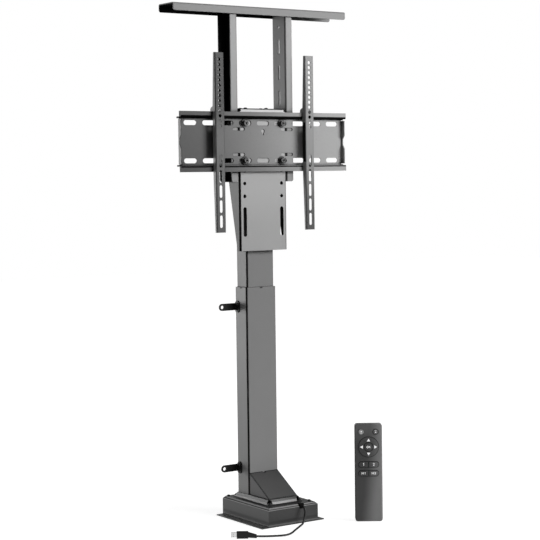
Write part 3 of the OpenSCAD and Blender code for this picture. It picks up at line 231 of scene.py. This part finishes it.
class Finish(Pattern):
    """A material with relief, edges and painted shade, and the shader at its end."""

    def bump(self, height, distance, normal):
        """The surface direction with a fine relief of that height on top of another one."""
        return self.node("Bump", sockets={"Height": height, "Distance": distance, "Normal": normal})

    def rounded_edge(self, radius):
        """The surface direction as if every edge were rounded by that radius."""
        return self.node("Bevel", {"samples": 6}, {"Radius": radius})

    def openness(self, reach):
        """How much of the half sphere over a point is free within that reach, from 0 to 1."""
        return self.node("AmbientOcclusion", {"samples": 8}, {"Distance": reach}, output="AO")

    def sharp_edge(self, radius):
        """1 near the edges of a sheet, where a rounded surface would turn away."""
        flat = self.node("NewGeometry", output="Normal")
        turned = self.node("VectorMath", {"operation": "DOT_PRODUCT"},
                           {0: flat, 1: self.rounded_edge(radius)}, output="Value")
        return self.ramp(turned, 0.995, 0.93)

    def surface(self, sockets, dark=None):
        """Ends the material in a Principled shader, which turns matt black as painted shade where dark
        is 1.
        """
        shader = self.node("BsdfPrincipled", sockets=sockets)
        if dark is not None:
            black = self.node("BsdfDiffuse", sockets={"Color": grey(0.002)})
            shader = self.node("MixShader", sockets={0: dark, 1: shader, 2: black})
        self.node("OutputMaterial", sockets={"Surface": shader})
        return self.owner


# %% [markdown]
# The lift is folded from sheet steel, and on the real one the upright folds read as thin dark lines,
# where their roundings mirror the dark room. That dark reflection is painted here, so that the imported
# shapes stay as they are. The direction that a surface faces picks the folds out, because only a
# rounding faces between two walls. The same direction, together with the place on the part, picks out
# the faces that no light reaches, for painted shade.

# %% Folds and unlit parts


def painted_fold_reflection(finish, left, right):
    """How dark the painted reflection in the roundings between two upright walls is, on the left and on
    the right.
    """
    x, y, z = finish.facing()
    both = x * y * 2.0
    return finish.ramp(both, 0.1, 0.45) * left + finish.ramp(both, -0.1, -0.45) * right


def shaded(finish, place, shades):
    """How dark the parts are that no light reaches."""
    looks = finish.facing()
    total = None
    for look, where, strength in shades:
        share = strength
        if look is not None:
            share = finish.ramp(looks["xyz".index(look)], -0.5, -0.8) * strength
        for axis, limits in where.items():
            share = finish.between(place["xyz".index(axis)], *limits) * share
        total = share if total is None else total + share
    return total


# %% [markdown]
# The coat on the rail and the base is coarse, with light specks and small pits. The folds under a flat
# top get a level of their own, a painted highlight where it is lighter and painted shade where it is
# darker. A painted highlight draws a lighter line where a bend would catch the light. Each of these
# could be a mask painted by hand, and here it is one more colour mixed over the tone so far, where a
# direction or a height says so.

# %% Marks in the coat
SPECKS = 420.0  # cells of the pattern to the metre
PITS = 520.0


def speckled(finish, point, tone, level, strength):
    """The light specks and the dark pits of a coarse coat."""
    specks = finish.ramp(finish.noise(point, SPECKS, 3.0), 0.55, 0.75) * strength
    pits = finish.ramp(finish.noise(point, PITS, 3.0), 0.5, 0.3) * strength
    return finish.mix(pits, finish.mix(specks, tone, grey(level * 3)), grey(0.0))


def painted_fold_level(finish, tone, level):
    """Folds under a flat top, in a level of their own: a painted highlight where it is lighter, and
    painted shade where it is darker.
    """
    x, y, z = finish.facing()
    bent = finish.ramp((abs(x) + abs(y)) * z * 2.0, 0.25, 0.7)
    return finish.mix(bent, tone, grey(level))


def painted_highlight_line(finish, height, tone, low, high, level):
    """A painted highlight: a lighter line between two heights, on faces that aren't level."""
    upright = finish.ramp(abs(finish.facing()[2]), 0.9, 0.7)
    return finish.mix(finish.between(height, low, high) * upright, tone, grey(level))


# %% [markdown]
# Satin powder coat is a plastic skin baked onto steel, with a very fine orange peel and a little
# cloudiness. One function makes it for every part, from a level of grey and then whatever sets that
# part apart, because many small differences are easier to keep in one list of numbers than in many node
# trees. Apart from the speckle of a coarse coat, these are painted light and shade: a falloff of light
# along the part, the faces that look left, and highlights and dark lines on folds and edges. What stays
# dark is painted shade, collected apart, and turns the shader matt black, because a shadow has no gloss
# either.

# %% Powder coat
CLOUDS = 7.0  # cells of the pattern to the metre
PEEL = 900.0
PEEL_HEIGHT = 0.02 * MM
SHEET_EDGE = 0.7 * MM


def powder_coat(name, level, folds=(0.0, 0.0), top=None, rough=0.42, side=1.0, reach=40.0,
                crown=None, rim=None, edge_shade=None, mottle=0.0, shades=(), glints=()):
    """Satin coat, with painted light and shade. folds is how dark the painted reflection in its upright
    folds is, top the level at the far end, where a painted falloff of light brings it, side how much of
    the colour is left on faces that look to the left, painted light where it is above 1 and painted
    shade where it is below, reach the width of the narrow places that stay dark as painted shade, crown
    the level on folds under a flat top, a painted highlight where it is lighter than the coat and
    painted shade where it is darker, rim the level along sharp edges, as a painted highlight, seam the
    width along them that turns dark as painted shade, and mottle the strength of the coat's fine
    speckle. shades lists the parts that no light reaches, which get painted shade: the axis that their
    faces look back along, or None for all faces, the limits of their place on each axis, and how dark
    they are. glints lists the heights and the level of lighter lines, which are painted highlights, on
    faces that aren't level."""
    finish = Finish(name)
    point, place = finish.place()
    cloud = finish.noise(point, CLOUDS)
    peel = finish.noise(point, PEEL, 1.0)
    tone = finish.mix(cloud, grey(level * 0.96), grey(level * 1.04))
    # Painted light and shade: a falloff to the far level, the faces that look left, the folds under a
    # flat top, the sharp edges and the lighter lines
    if top is not None:
        far = finish.mix(cloud, grey(top[3] * 0.96), grey(top[3] * 1.04))
        tone = finish.mix(finish.ramp(place[top[0]], top[1], top[2]), tone, far)
    if mottle:
        tone = speckled(finish, point, tone, level, mottle)
    if side != 1.0:
        tone = finish.mix(finish.ramp(finish.facing()[0], -0.6, -0.95), tone, grey(level * side))
    if crown is not None:
        tone = painted_fold_level(finish, tone, crown)
    if rim is not None:
        tone = finish.mix(finish.sharp_edge(2.2 * MM), tone, grey(rim))
    for low, high, line in glints:
        tone = painted_highlight_line(finish, place[2], tone, low, high, line)
    # Painted shade, which turns matt black: narrow places, the dark reflection in the upright folds,
    # the faces that no light reaches and a band along sharp edges
    dark = finish.ramp(finish.openness(reach * MM), 0.75, 0.4)
    if any(folds):
        dark = dark + painted_fold_reflection(finish, *folds)
    if shades:
        dark = dark + shaded(finish, place, shades)
    if edge_shade is not None:
        dark = dark + finish.sharp_edge(edge_shade * MM) * 0.8
    normal = finish.bump(peel, PEEL_HEIGHT, finish.rounded_edge(SHEET_EDGE))
    return finish.surface({
        "Base Color": tone,
        "Roughness": cloud * 0.08 + (rough - 0.04),
        "Normal": normal,
    }, finish.math("MINIMUM", dark, 0.98))


print("orange peel:", round(1 / PEEL / MM, 2), "mm wide and", PEEL_HEIGHT / MM, "mm high")

# %% [markdown]
# Plastic, rubber and bare metal need less: a fine grain that scatters the gloss, and edges that aren't
# quite sharp. A modifier could bevel the edges, but it would move the imported meshes, so the shader
# rounds them too.

# %% Plastic, rubber and metal
MOULD_EDGE = 0.4 * MM


def plain_finish(name, level, rough, metallic=0.0, grain=600.0, depth=0.02, specular=0.5,
                 colour=None, rim=None, glow=0.0):
    """Moulded plastic, rubber or bare metal with a fine grain. rim is the level of its edges, as a
    painted highlight, and glow a painted glow that the ink gives off to look brighter."""
    finish = Finish(name)
    point, _ = finish.place()
    cloud = finish.noise(point, 25.0)
    fine = finish.noise(point, grain, 2.0)
    first = grey(level * 0.9) if colour is None else tuple(c * 0.92 for c in colour) + (1.0,)
    second = grey(level * 1.1) if colour is None else tuple(c * 1.08 for c in colour) + (1.0,)
    tone = finish.mix(cloud, first, second)
    if rim is not None:
        tone = finish.mix(finish.sharp_edge(0.9 * MM), tone, grey(rim))
    normal = finish.bump(fine, depth * MM, finish.rounded_edge(MOULD_EDGE))
    return finish.surface({
        "Base Color": tone,
        "Roughness": fine * 0.1 + (rough - 0.05),
        "Metallic": metallic,
        "Specular IOR Level": specular,
        "Emission Color": grey(1.0),
        "Emission Strength": glow,
        "Normal": normal,
    })


# %% [markdown]
# The remote control is lighter towards its right and its top. A light of its own would do that, but
# would reach the base as well, so it is painted light in the colour. The remote control stands turned
# to the camera, and the finish first works out how far across the case a point lies. Each key also gets
# a painted dark line round it, the shade of the gap that it sinks into, and the edges of the case get a
# darker level as painted shade.

# %% Plastic of the remote control
REMOTE_PLACE = Vector((173.0, -186.0, 0.0)) * MM
REMOTE_TURN = math.radians(34.6)
REMOTE_FADE = 22 * MM  # how far to each side of its middle the colour changes


def remote_finish(name, left, right, rough, rim=0.01, line=None):
    """Moulded plastic of the remote control, with painted light towards its right and its top. rim is
    the level of its edges, as painted shade, and line the width along them that turns dark as the
    painted shade of the gap round a key."""
    finish = Finish(name)
    point, (x, y, z) = finish.place()
    across = (x - REMOTE_PLACE.x) * math.cos(REMOTE_TURN) - (y - REMOTE_PLACE.y) * math.sin(REMOTE_TURN)
    along = across - z * 0.1
    cloud = finish.noise(point, 25.0)
    share = finish.ramp(along + cloud * 0.004, -REMOTE_FADE, REMOTE_FADE)
    share = share + finish.ramp(z, 0.19, 0.24) * 0.25
    fine = finish.noise(point, 800.0, 2.0)
    tone = finish.mix(share, grey(left), grey(right))
    return finish.surface({
        "Base Color": finish.mix(finish.sharp_edge(1.3 * MM), tone, grey(rim)),
        "Roughness": fine * 0.1 + (rough - 0.05),
        "Normal": finish.bump(fine, 0.008 * MM, finish.rounded_edge(0.5 * MM)),
    }, None if line is None else finish.sharp_edge(line * MM) * 0.9)


print("remote control at:", [round(part, 3) for part in REMOTE_PLACE])

# %% [markdown]
# All the sheet parts wear the same coat, but each stands in a light of its own, and its level is set
# against the photograph, so the light and shade that falls on it is painted into that level. One shared
# material would be simpler and would miss that. The faces that look left are lit by the rim light
# alone, and get a painted level of their own. The insides of the posts, the channel and the bracket get
# no light and take painted shade. Heights and other places are metres in the frame of the object.

# %% Coats of the steel parts
UNLIT = 0.94  # how dark a face is that no light reaches

# Painted shade: darker towards the top, and a painted dark reflection in the upright folds
column_coat = powder_coat("column_coat", 0.28, folds=(0.97, 0.2), top=(2, 0.05, 0.6, 0.205))
# Painted shade on the faces that look left, and black where the bracket keeps the light off
inner_coat = powder_coat("inner_coat", 0.205, folds=(0.97, 0.2), side=0.67,
                         shades=[("x", {"y": (None, 0.042), "z": (0.675, None)}, UNLIT)])
# Painted shade: both cheeks from within, the underside of its top, the lower left side, the dark fold
# along the top, the faces that look left and the folds under the top
# Painted light: the front is lighter towards the top, with a painted highlight on the strip above the
# rail
bracket_coat = powder_coat("bracket_coat", 0.37, folds=(0.97, 0.6), side=0.072, reach=4.0,
                           crown=0.003, top=(2, 0.72, 0.95, 0.46), glints=[(1.012, 1.04, 0.7)],
                           shades=[("x", {"x": (-0.07, None)}, UNLIT),
                                   ("z", {"z": (0.7, None)}, UNLIT),
                                   ("x", {"z": (None, 0.78, 0.06)}, 0.15),
                                   (None, {"z": (1.0312, 1.04)}, 1.0)])
# Painted shade: the underside of the upper shelf, a line along each shelf, the lips towards the left,
# and the far left of the plate
# Painted light: the rail is lighter towards the right as a painted reflection, and its end faces get a
# painted highlight
rail_coat = powder_coat("rail_coat", 0.042, top=(0, -0.25, 0.25, 0.37), reach=18.0, side=8.0,
                        mottle=0.12,
                        shades=[("z", {"z": (0.9, None), "x": (-0.248, None)}, UNLIT),
                                ("y", {"z": (1.0075, 1.0145), "x": (-0.248, None)}, 1.0),
                                ("y", {"z": (0.8875, 0.8905), "x": (-0.248, None)}, 1.0),
                                ("y", {"y": (None, -0.001, 0.0005), "x": (None, 0.1, 0.1)}, 0.12),
                                ("y", {"x": (None, -0.05, 0.2)}, 0.12)])
# Painted light and shade: darker towards the top, shade on the front above the rail and at the foot,
# and lighter faces that look left
left_arm_coat = powder_coat("left_arm_coat", 0.085, folds=(0.2, 0.0), top=(2, 1.0, 1.14, 0.052),
                            side=3.8, reach=3.0,
                            shades=[("y", {"z": (1.0, None, 0.05)}, 0.4),
                                    ("y", {"z": (None, 0.8, 0.05)}, 0.14)])
# Painted light and shade: lighter towards the top and on the faces that look left, which are unlit
# beside the rail
right_arm_coat = powder_coat("right_arm_coat", 0.051, folds=(0.2, 0.0), top=(2, 0.76, 0.93, 0.24),
                             side=5.0, reach=3.0, shades=[("x", {"z": (0.9, 1.0)}, UNLIT)])
# Painted shade: a painted dark reflection in the folds, the faces that look left, and black inside the
# channel
left_post_coat = powder_coat("left_post_coat", 0.29, folds=(0.97, 0.3), side=0.12,
                             shades=[("x", {"x": (-0.091, None)}, UNLIT),
                                     ("y", {"y": (0.02, None)}, UNLIT)])
# Painted shade: a painted dark reflection in the folds, and darker faces that look left
right_post_coat = powder_coat("right_post_coat", 0.29, folds=(0.45, 0.3), side=0.8)
# Painted shade: its underside and the inside of its back wall towards the left
channel_coat = powder_coat("channel_coat", 0.165,
                           shades=[("z", {"z": (1.0, None)}, UNLIT),
                                   ("y", {"y": (0.02, None), "x": (None, 0.14, 0.1)}, UNLIT)])
# Painted shade: a line under the shoulder, a soft shade down to the fold of the flange, the faces that
# look left and the folds
# Painted highlights on the folds under the top, and in a line just above the flange
base_coat = powder_coat("base_coat", 0.032, folds=(0.3, 0.3), rough=0.36, side=0.7, reach=4.0,
                        crown=0.3, mottle=0.15, glints=[(0.0035, 0.0065, 0.14)],
                        shades=[(None, {"z": (0.0435, 0.045)}, 1.0),
                                (None, {"z": (0.0125, 0.0125, 0.006)}, 1.0)])
# Painted highlight along its sharp edges
base_cover_coat = powder_coat("base_cover_coat", 0.012, rough=0.45, reach=9.0, rim=0.22)
# Painted shade: darker towards the top, in the folds, on the faces that look left and along the sharp
# edges
cover_coat = powder_coat("cover_coat", 0.105, folds=(0.9, 0.3), top=(2, 0.08, 0.15, 0.02),
                         rough=0.36, side=0.5, reach=9.0, edge_shade=4.5)
# Painted light and shade: darker towards the right and on the faces that look left, a painted highlight
# along the lower edge and shade on the upper front
plinth_coat = powder_coat("plinth_coat", 0.1, top=(0, -0.045, 0.0, 0.06), rough=0.3, side=0.3,
                          reach=9.0, glints=[(0.0475, 0.0525, 0.2)],
                          shades=[("y", {"z": (0.0538, None)}, 0.5)])
coats = [material for material in bpy.data.materials if material.name.endswith("_coat")]
print("coats:", len(coats))

# %% [markdown]
# Screws are black zinc, and the rail bolts, which the camera looks at from close by, get a painted
# highlight on their rims. The bolts in the posts are dead black, as painted shade in their slots. Parts
# inside the lift get plain steel, brass, castings and nylon. They are out of sight in this picture, but
# not in an open lift, so none of them is left grey.

# %% Finishes of the other parts
black_zinc = plain_finish("black_zinc", 0.008, 0.38, depth=0.004, specular=0.35)
# Painted shade: dead black for the bolts that sit in the slots of the posts
dull_black = plain_finish("dull_black", 0.002, 0.7, depth=0.004, specular=0.1)
# Painted highlight on the rims of the rail bolts
bolt_zinc = plain_finish("bolt_zinc", 0.02, 0.4, depth=0.004, rim=0.45)
black_steel = plain_finish("black_steel", 0.006, 0.4, depth=0.004, specular=0.25)
bare_steel = plain_finish("bare_steel", 0.5, 0.32, metallic=1.0, grain=900.0, depth=0.002)
bright_plate = plain_finish("bright_plate", 0.62, 0.25, metallic=1.0, grain=900.0, depth=0.001)
brass = plain_finish("gear_brass", 0.5, 0.3, metallic=1.0, colour=(0.72, 0.5, 0.2))
cast_alloy = plain_finish("cast_alloy", 0.55, 0.5, metallic=1.0, grain=350.0, depth=0.03)
black_plastic = plain_finish("black_plastic", 0.018, 0.5, grain=700.0, depth=0.012)
case_plastic = remote_finish("case_plastic", 0.045, 0.3, 0.42, rim=0.02)
key_rubber = remote_finish("key_rubber", 0.043, 0.22, 0.5, line=2.0)
pale_rubber = remote_finish("pale_rubber", 0.42, 0.5, 0.5, line=1.0)
white_nylon = plain_finish("white_nylon", 0.7, 0.5)
plug_plastic = plain_finish("plug_plastic", 0.005, 0.5, grain=700.0, depth=0.008, specular=0.35)
# Painted glow: the ink gives off light to look brighter
label_ink = plain_finish("label_ink", 0.9, 0.5, grain=900.0, depth=0.001, glow=0.5)
black_rubber = plain_finish("black_rubber", 0.006, 0.4, specular=0.5)
cell_wrap = plain_finish("cell_wrap", 0.2, 0.3)
board_green = plain_finish("board_green", 0.1, 0.4, colour=(0.03, 0.14, 0.07))

print("materials:", len(bpy.data.materials))

# %% [markdown]
# Every node of the frame is in this table once. The key says what the parts are, and the
# value names the finish and the nodes that wear it. Rules that go by the names would be
# shorter, but in a table it is plain which piece wears what.

# %% Finish of every node
FINISHES = {
    "column": (column_coat, "outer_tube"),
    "inner tube": (inner_coat, "inner_tube"),
    "bracket": (bracket_coat, "mount_bracket"),
    "rail": (rail_coat, "vesa_rail"),
    "left arm": (left_arm_coat, "arm_left"),
    "right arm": (right_arm_coat, "arm_right"),
    "left post": (left_post_coat, "post_left"),
    "right post": (right_post_coat, "post_right"),
    "channel": (channel_coat, "top_channel"),
    "base": (base_coat, "base_housing base_bottom_plate"),
    "base cover": (base_cover_coat, "base_cover"),
    "motor cover": (cover_coat, "motor_cover"),
    "plinth": (plinth_coat, "column_plinth"),
    "black screws": (black_zinc, "base_cover_screws column_foot_bolts plinth_screws cap_screws "
                                 "rail_washers rail_nuts channel_screws wall_tab_screws"),
    # Painted shade: the post bolts, nuts and spacers are dead black, as dark as the slots they sit in
    "hidden in the dark": (dull_black, "post_spacers post_bolts post_nuts cable_grommet"),
    "rail bolts": (bolt_zinc, "rail_bolts"),
    "tabs": (black_steel, "wall_tab_upper wall_tab_lower drive_motor"),
    "bare steel": (bare_steel, "column_foot_plate screw_bearing motor_worm lead_screw inner_tube_cap"),
    "plug metal": (bright_plate, "usb_plug_shell"),
    "wheel": (brass, "worm_wheel"),
    "castings": (cast_alloy, "gearbox_housing gearbox_cover"),
    "mouldings": (black_plastic, "upper_glide_pads lower_glide_pads control_box power_inlet"),
    "plug": (plug_plastic, "usb_plug_body"),
    "remote": (case_plastic, "remote_front_shell remote_rear_shell battery_door"),
    "pale key": (pale_rubber, "key_lower"),
    "keys": (key_rubber, "key_raise key_ring key_ok key_one key_two key_memory_one "
                          "key_memory_two"),
    "nut": (white_nylon, "lead_nut"),
    "rubber": (black_rubber, "usb_cord"),
    "cells": (cell_wrap, "batteries"),
    "board": (board_green, "remote_board"),
}


def dress(obj, material):
    """Gives an object one material on every face."""
    obj.data.materials.clear()
    obj.data.materials.append(material)


dressed = 0
for material, names in FINISHES.values():
    for name in names.split():
        dress(frame["nodes"][name], material)
        dressed += 1
print("nodes with a finish:", dressed)

# %% [markdown]
# The lead is a short soft cord of 5 mm. It leaves the notch in the front edge of the base,
# drops to the floor and lies there in one curve up to its plug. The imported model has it
# too, as a tube of straight pieces. A curve with a round bevel takes the same route with
# an even thickness and no corners.

# %% Route of the lead
ROUTE_MM = [
    (25, -106, 41), (25, -110, 41), (25, -114, 39.5), (25, -117, 36), (25, -118.5, 31),
    (24, -119, 25), (22.5, -120, 19), (20, -121.5, 13.5), (16.5, -123.5, 8.5),
    (12, -126.5, 4.8), (6, -130.5, 3), (0, -135, 2.6), (-8, -141, 2.5), (-18, -149, 2.5),
    (-28, -157, 2.5), (-39, -166, 2.5), (-50, -175, 2.5), (-61, -184, 2.5),
    (-72, -191, 2.5), (-83, -195, 2.5), (-94, -195, 2.5), (-103, -192.5, 2.5),
    (-112, -188.5, 2.5), (-121, -184.5, 2.6), (-130, -181, 2.9), (-140, -177.5, 3.5),
    (-149, -174.8, 4.2), (-157, -172, 5),
]
CORD_D = 5 * MM
route = [Vector(point) * MM for point in ROUTE_MM]

# %% Lead


def smooth_curve(name, points, thickness):
    """A round tube through the points, as one open spline."""
    curve = bpy.data.curves.new(name, "CURVE")
    curve.dimensions = "3D"
    curve.bevel_depth = thickness / 2
    curve.bevel_resolution = 4
    curve.resolution_u = 6
    curve.use_fill_caps = True
    spline = curve.splines.new("BEZIER")
    spline.bezier_points.add(len(points) - 1)
    for knot, point in zip(spline.bezier_points, points):
        knot.co = point
        knot.handle_left_type = "AUTO"
        knot.handle_right_type = "AUTO"
    obj = bpy.data.objects.new(name, curve)
    bpy.context.scene.collection.objects.link(obj)
    return obj


lead = smooth_curve("data_lead", route, CORD_D)
dress(lead, black_rubber)
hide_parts("usb_cord")
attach(lead, "column")
print("knots in the lead:", len(lead.data.splines[0].bezier_points))

# %% [markdown]
# The signs on the keys are printed. Text objects could write them, in the letters of some
# typeface, but the real signs are plain lines. So each one is a few strokes of even width
# in the plane of the key's top, with half a tenth of a millimetre of ink. A stroke is a
# flat bar from one point to the next, and an arrow is a triangle.

# %% Signs on the keys
KEY_TOP = -12.5
INK = 0.05
STROKE = 0.85
ARROW_HALF = 4.1
SIGN_STROKES = {
    "1": [[(-1.1, 2.0), (0.3, 3.2), (0.3, -3.2)]],
    "2": [[(-1.8, 1.8), (-1.2, 2.9), (0, 3.2), (1.3, 2.7), (1.6, 1.5), (1.1, 0.3), (-1.8, -3.1),
           (1.9, -3.1)]],
    "M": [[(-2.4, -2.4), (-2.4, 2.4), (0, -0.8), (2.4, 2.4), (2.4, -2.4)]],
    "K": [[(-1.4, -2.4), (-1.4, 2.4)], [(1.6, 2.4), (-1.4, -0.2)], [(-0.4, 0.5), (1.7, -2.4)]],
    "O": [[(2.1 * math.cos(k * math.pi / 8), 2.4 * math.sin(k * math.pi / 8)) for k in range(17)]],
    "bar": [[(-2.6, 0), (2.6, 0)]],
}


def at_remote(x, y, z):
    """A place on the remote control, in millimetres, as a place in the frame."""
    point = Vector((x, y, z)) * MM
    return REMOTE_PLACE + Matrix.Rotation(-REMOTE_TURN, 3, "Z") @ point


def add_flat(form, corners):
    """A slab of ink with these corners, raised from the key's top."""
    under = form.faces.new([form.verts.new(at_remote(x, KEY_TOP, z)) for x, z in corners])
    grown = bmesh.ops.extrude_face_region(form, geom=[under])["geom"]
    raised = [part for part in grown if isinstance(part, bmesh.types.BMVert)]
    rise = at_remote(0, -INK, 0) - REMOTE_PLACE
    bmesh.ops.translate(form, verts=raised, vec=rise)


def add_stroke(form, start, end, width):
    a, b = Vector(start), Vector(end)
    along = (b - a).normalized() * width / 2
    aside = Vector((-along.y, along.x))
    a, b = a - along * 0.6, b + along * 0.6
    add_flat(form, [a - aside, b - aside, b + aside, a + aside])


def add_sign(form, sign, centre, size):
    for line in SIGN_STROKES[sign]:
        points = [Vector(centre) + Vector(point) * size for point in line]
        for a, b in zip(points, points[1:]):
            add_stroke(form, a, b, STROKE)


def add_arrow(form, centre, turn, half=ARROW_HALF):
    """A triangle that points up when turn is 0, and turns to the left with it."""
    spin = Matrix.Rotation(math.radians(turn), 2)
    corners = [(-half, -0.8 * half), (half, -0.8 * half), (0, 0.9 * half)]
    add_flat(form, [Vector(centre) + spin @ Vector(corner) for corner in corners])


def finish_signs(name, body, form):
    mesh = bpy.data.meshes.new(name)
    bmesh.ops.recalc_face_normals(form, faces=form.faces)
    form.to_mesh(mesh)
    form.free()
    obj = bpy.data.objects.new(name, mesh)
    bpy.context.scene.collection.objects.link(obj)
    dress(obj, label_ink)
    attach(obj, body)
    return obj


print("drawn in strokes:", list(SIGN_STROKES))

# %% [markdown]
# The keys stand at the places that the construction gives them, as shares of the width of
# the remote control, measured from its top. The signs ride with the keys that carry them.

# %% Signs in their places
REMOTE_W = 69.0
REMOTE_L = 246.0
RING_Z = REMOTE_L - 0.84 * REMOTE_W
ROUND_X = 0.26 * REMOTE_W
ROUND_Z = REMOTE_L - 0.29 * REMOTE_W
PILL_X = 0.1825 * REMOTE_W
PILL_Z = REMOTE_L - 1.476 * REMOTE_W
PILL_TWO_Z = REMOTE_L - 1.8 * REMOTE_W
ARROW_OUT = 17.5
SMALL_ARROW = 2.1
SIGN_SIZE = 0.95
SMALL_DIGIT = 0.72
LETTER_X = -2.6
DIGIT_X = 3.4

ring_form = bmesh.new()
for turn, x, z in ((0, 0, 1), (90, -1, 0), (180, 0, -1), (270, 1, 0)):
    add_arrow(ring_form, (x * ARROW_OUT, RING_Z + z * ARROW_OUT), turn)
finish_signs("ring_signs", "key_ring_cap", ring_form)

ok_form = bmesh.new()
add_sign(ok_form, "O", (LETTER_X, RING_Z), SIGN_SIZE)
add_sign(ok_form, "K", (2.8, RING_Z), SIGN_SIZE)
finish_signs("ok_sign", "key_ok_cap", ok_form)

for key, sign, x in (("key_one", "1", -PILL_X), ("key_two", "2", PILL_X)):
    form = bmesh.new()
    add_sign(form, sign, (x, PILL_Z), SIGN_SIZE)
    finish_signs(key + "_sign", key + "_cap", form)

for key, sign, x in (("key_memory_one", "1", -PILL_X), ("key_memory_two", "2", PILL_X)):
    form = bmesh.new()
    add_sign(form, "M", (x + LETTER_X, PILL_TWO_Z), SIGN_SIZE)
    add_sign(form, sign, (x + DIGIT_X, PILL_TWO_Z), SMALL_DIGIT)
    finish_signs(key + "_sign", key + "_cap", form)

for key, turn, up, x in (("key_lower", 180, -1, -ROUND_X), ("key_raise", 0, 1, ROUND_X)):
    form = bmesh.new()
    add_arrow(form, (x, ROUND_Z - 0.6 * up), turn, SMALL_ARROW)
    add_sign(form, "bar", (x, ROUND_Z + 2.8 * up), 0.8)
    finish_signs(key + "_sign", key + "_cap", form)
signs = [obj.name for obj in bpy.data.objects if obj.name.endswith(("_sign", "_signs"))]
print("signs:", signs)

# %% [markdown]
# A product picture stands on a floor that is as white as the backdrop. A plainly white
# floor would throw light up under the shelves, so this one is pale for the light, and
# turns white only for rays that come from the camera or off a glossy face. It still darkens where the
# lift blocks the light. Farther out, where less light falls, the glow takes over, so the
# floor runs into the backdrop without a horizon.

# %% Floor
FLOOR_HALF = 9.0
FLOOR_DROP = 0.5 * MM
FLOOR_GREY = 0.45


def plane(name, half, height):
    form = bmesh.new()
    bmesh.ops.create_grid(form, x_segments=1, y_segments=1, size=half)
    bmesh.ops.translate(form, verts=form.verts, vec=(0, 0, height))
    mesh = bpy.data.meshes.new(name)
    form.to_mesh(mesh)
    form.free()
    obj = bpy.data.objects.new(name, mesh)
    bpy.context.scene.collection.objects.link(obj)
    return obj


def floor_finish():
    """Pale for the light, and white for the eye except in shadow."""
    finish = Finish("floor")
    direct = finish.node("LightPath", output="Is Camera Ray")
    mirrored = finish.node("LightPath", output="Is Glossy Ray")
    seen = finish.math("MAXIMUM", direct, mirrored)
    point, _ = finish.place()
    distance = finish.node("VectorMath", {"operation": "LENGTH"}, {0: point}, output="Value")
    glow = finish.ramp(distance, 0.2, 1.1, 0.84, 1.0)
    real = finish.node("BsdfDiffuse", sockets={"Color": grey(FLOOR_GREY)})
    light = finish.node("Emission", sockets={"Color": grey(1.0), "Strength": seen * glow})
    both = finish.node("AddShader", sockets={0: real, 1: light})
    finish.node("OutputMaterial", sockets={"Surface": both})
    return finish.owner


floor = plane("floor", FLOOR_HALF, -FLOOR_DROP)
dress(floor, floor_finish())
print("floor:", 2 * FLOOR_HALF, "m wide")

# %% [markdown]
# The key light stands at the front right, above the rail, and is wide, so each arm throws a soft shadow
# to its left. A small lamp would draw that shadow with a hard rim. Little light comes from the room,
# which leaves the inside of the left post dark, and painted shade makes it black. A rim light behind
# the lift on the left is mirrored in every face that looks left.

# %% Light


def soft_box(name, place, target, width, height, watts):
    data = bpy.data.lights.new(name, "AREA")
    data.shape = "RECTANGLE"
    data.size = width
    data.size_y = height
    data.energy = watts
    obj = bpy.data.objects.new(name, data)
    place = Vector(place)
    aim = (Vector(target) - place).to_track_quat("-Z", "Y")
    obj.matrix_world = Matrix.Translation(place) @ aim.to_matrix().to_4x4()
    bpy.context.scene.collection.objects.link(obj)
    return obj


soft_box("key", (1.6, -2.4, 1.75), (0, 0, 0.8), 1.9, 1.2, 71)
soft_box("rim", (-1.7, 2.6, 0.55), (0, 0, 0.5), 0.9, 1.2, 23)
soft_box("top", (0.2, -0.5, 3.2), (0, 0, 0.6), 1.4, 1.4, 18)
print("lights:", [light.name for light in bpy.data.lights])

# %% [markdown]
# The world is white to the eye, and as a light it is a bright wall behind the lift in a
# dark room. A real wall would have to be hidden from the camera, and this one is nowhere.

# %% Room
ROOM_LEVEL = 0.08
WALL_START = 0.66  # how far the way to the wall leans back, from 0 to 1
WALL_END = 0.9


def room():
    """White to the camera, and a bright back wall in a dark room to the rest."""
    finish = Finish("room", bpy.data.worlds)
    way = finish.node("TexCoord", output="Generated")
    back = finish.node("SeparateXYZ", sockets={"Vector": way}, output="Y")
    wall = finish.ramp(back, WALL_START, WALL_END, ROOM_LEVEL, 1.0)
    ambient = finish.node("Background", sockets={"Color": grey(1.0), "Strength": wall})
    white = finish.node("Background", sockets={"Color": grey(1.0), "Strength": 1.0})
    seen = finish.node("LightPath", output="Is Camera Ray")
    shader = finish.node("MixShader", sockets={0: seen, 1: ambient, 2: white})
    finish.node("OutputWorld", sockets={"Surface": shader})
    return finish.owner


bpy.context.scene.world = room()
bpy.context.scene.view_settings.view_transform = "Standard"
print("world:", bpy.context.scene.world.name)
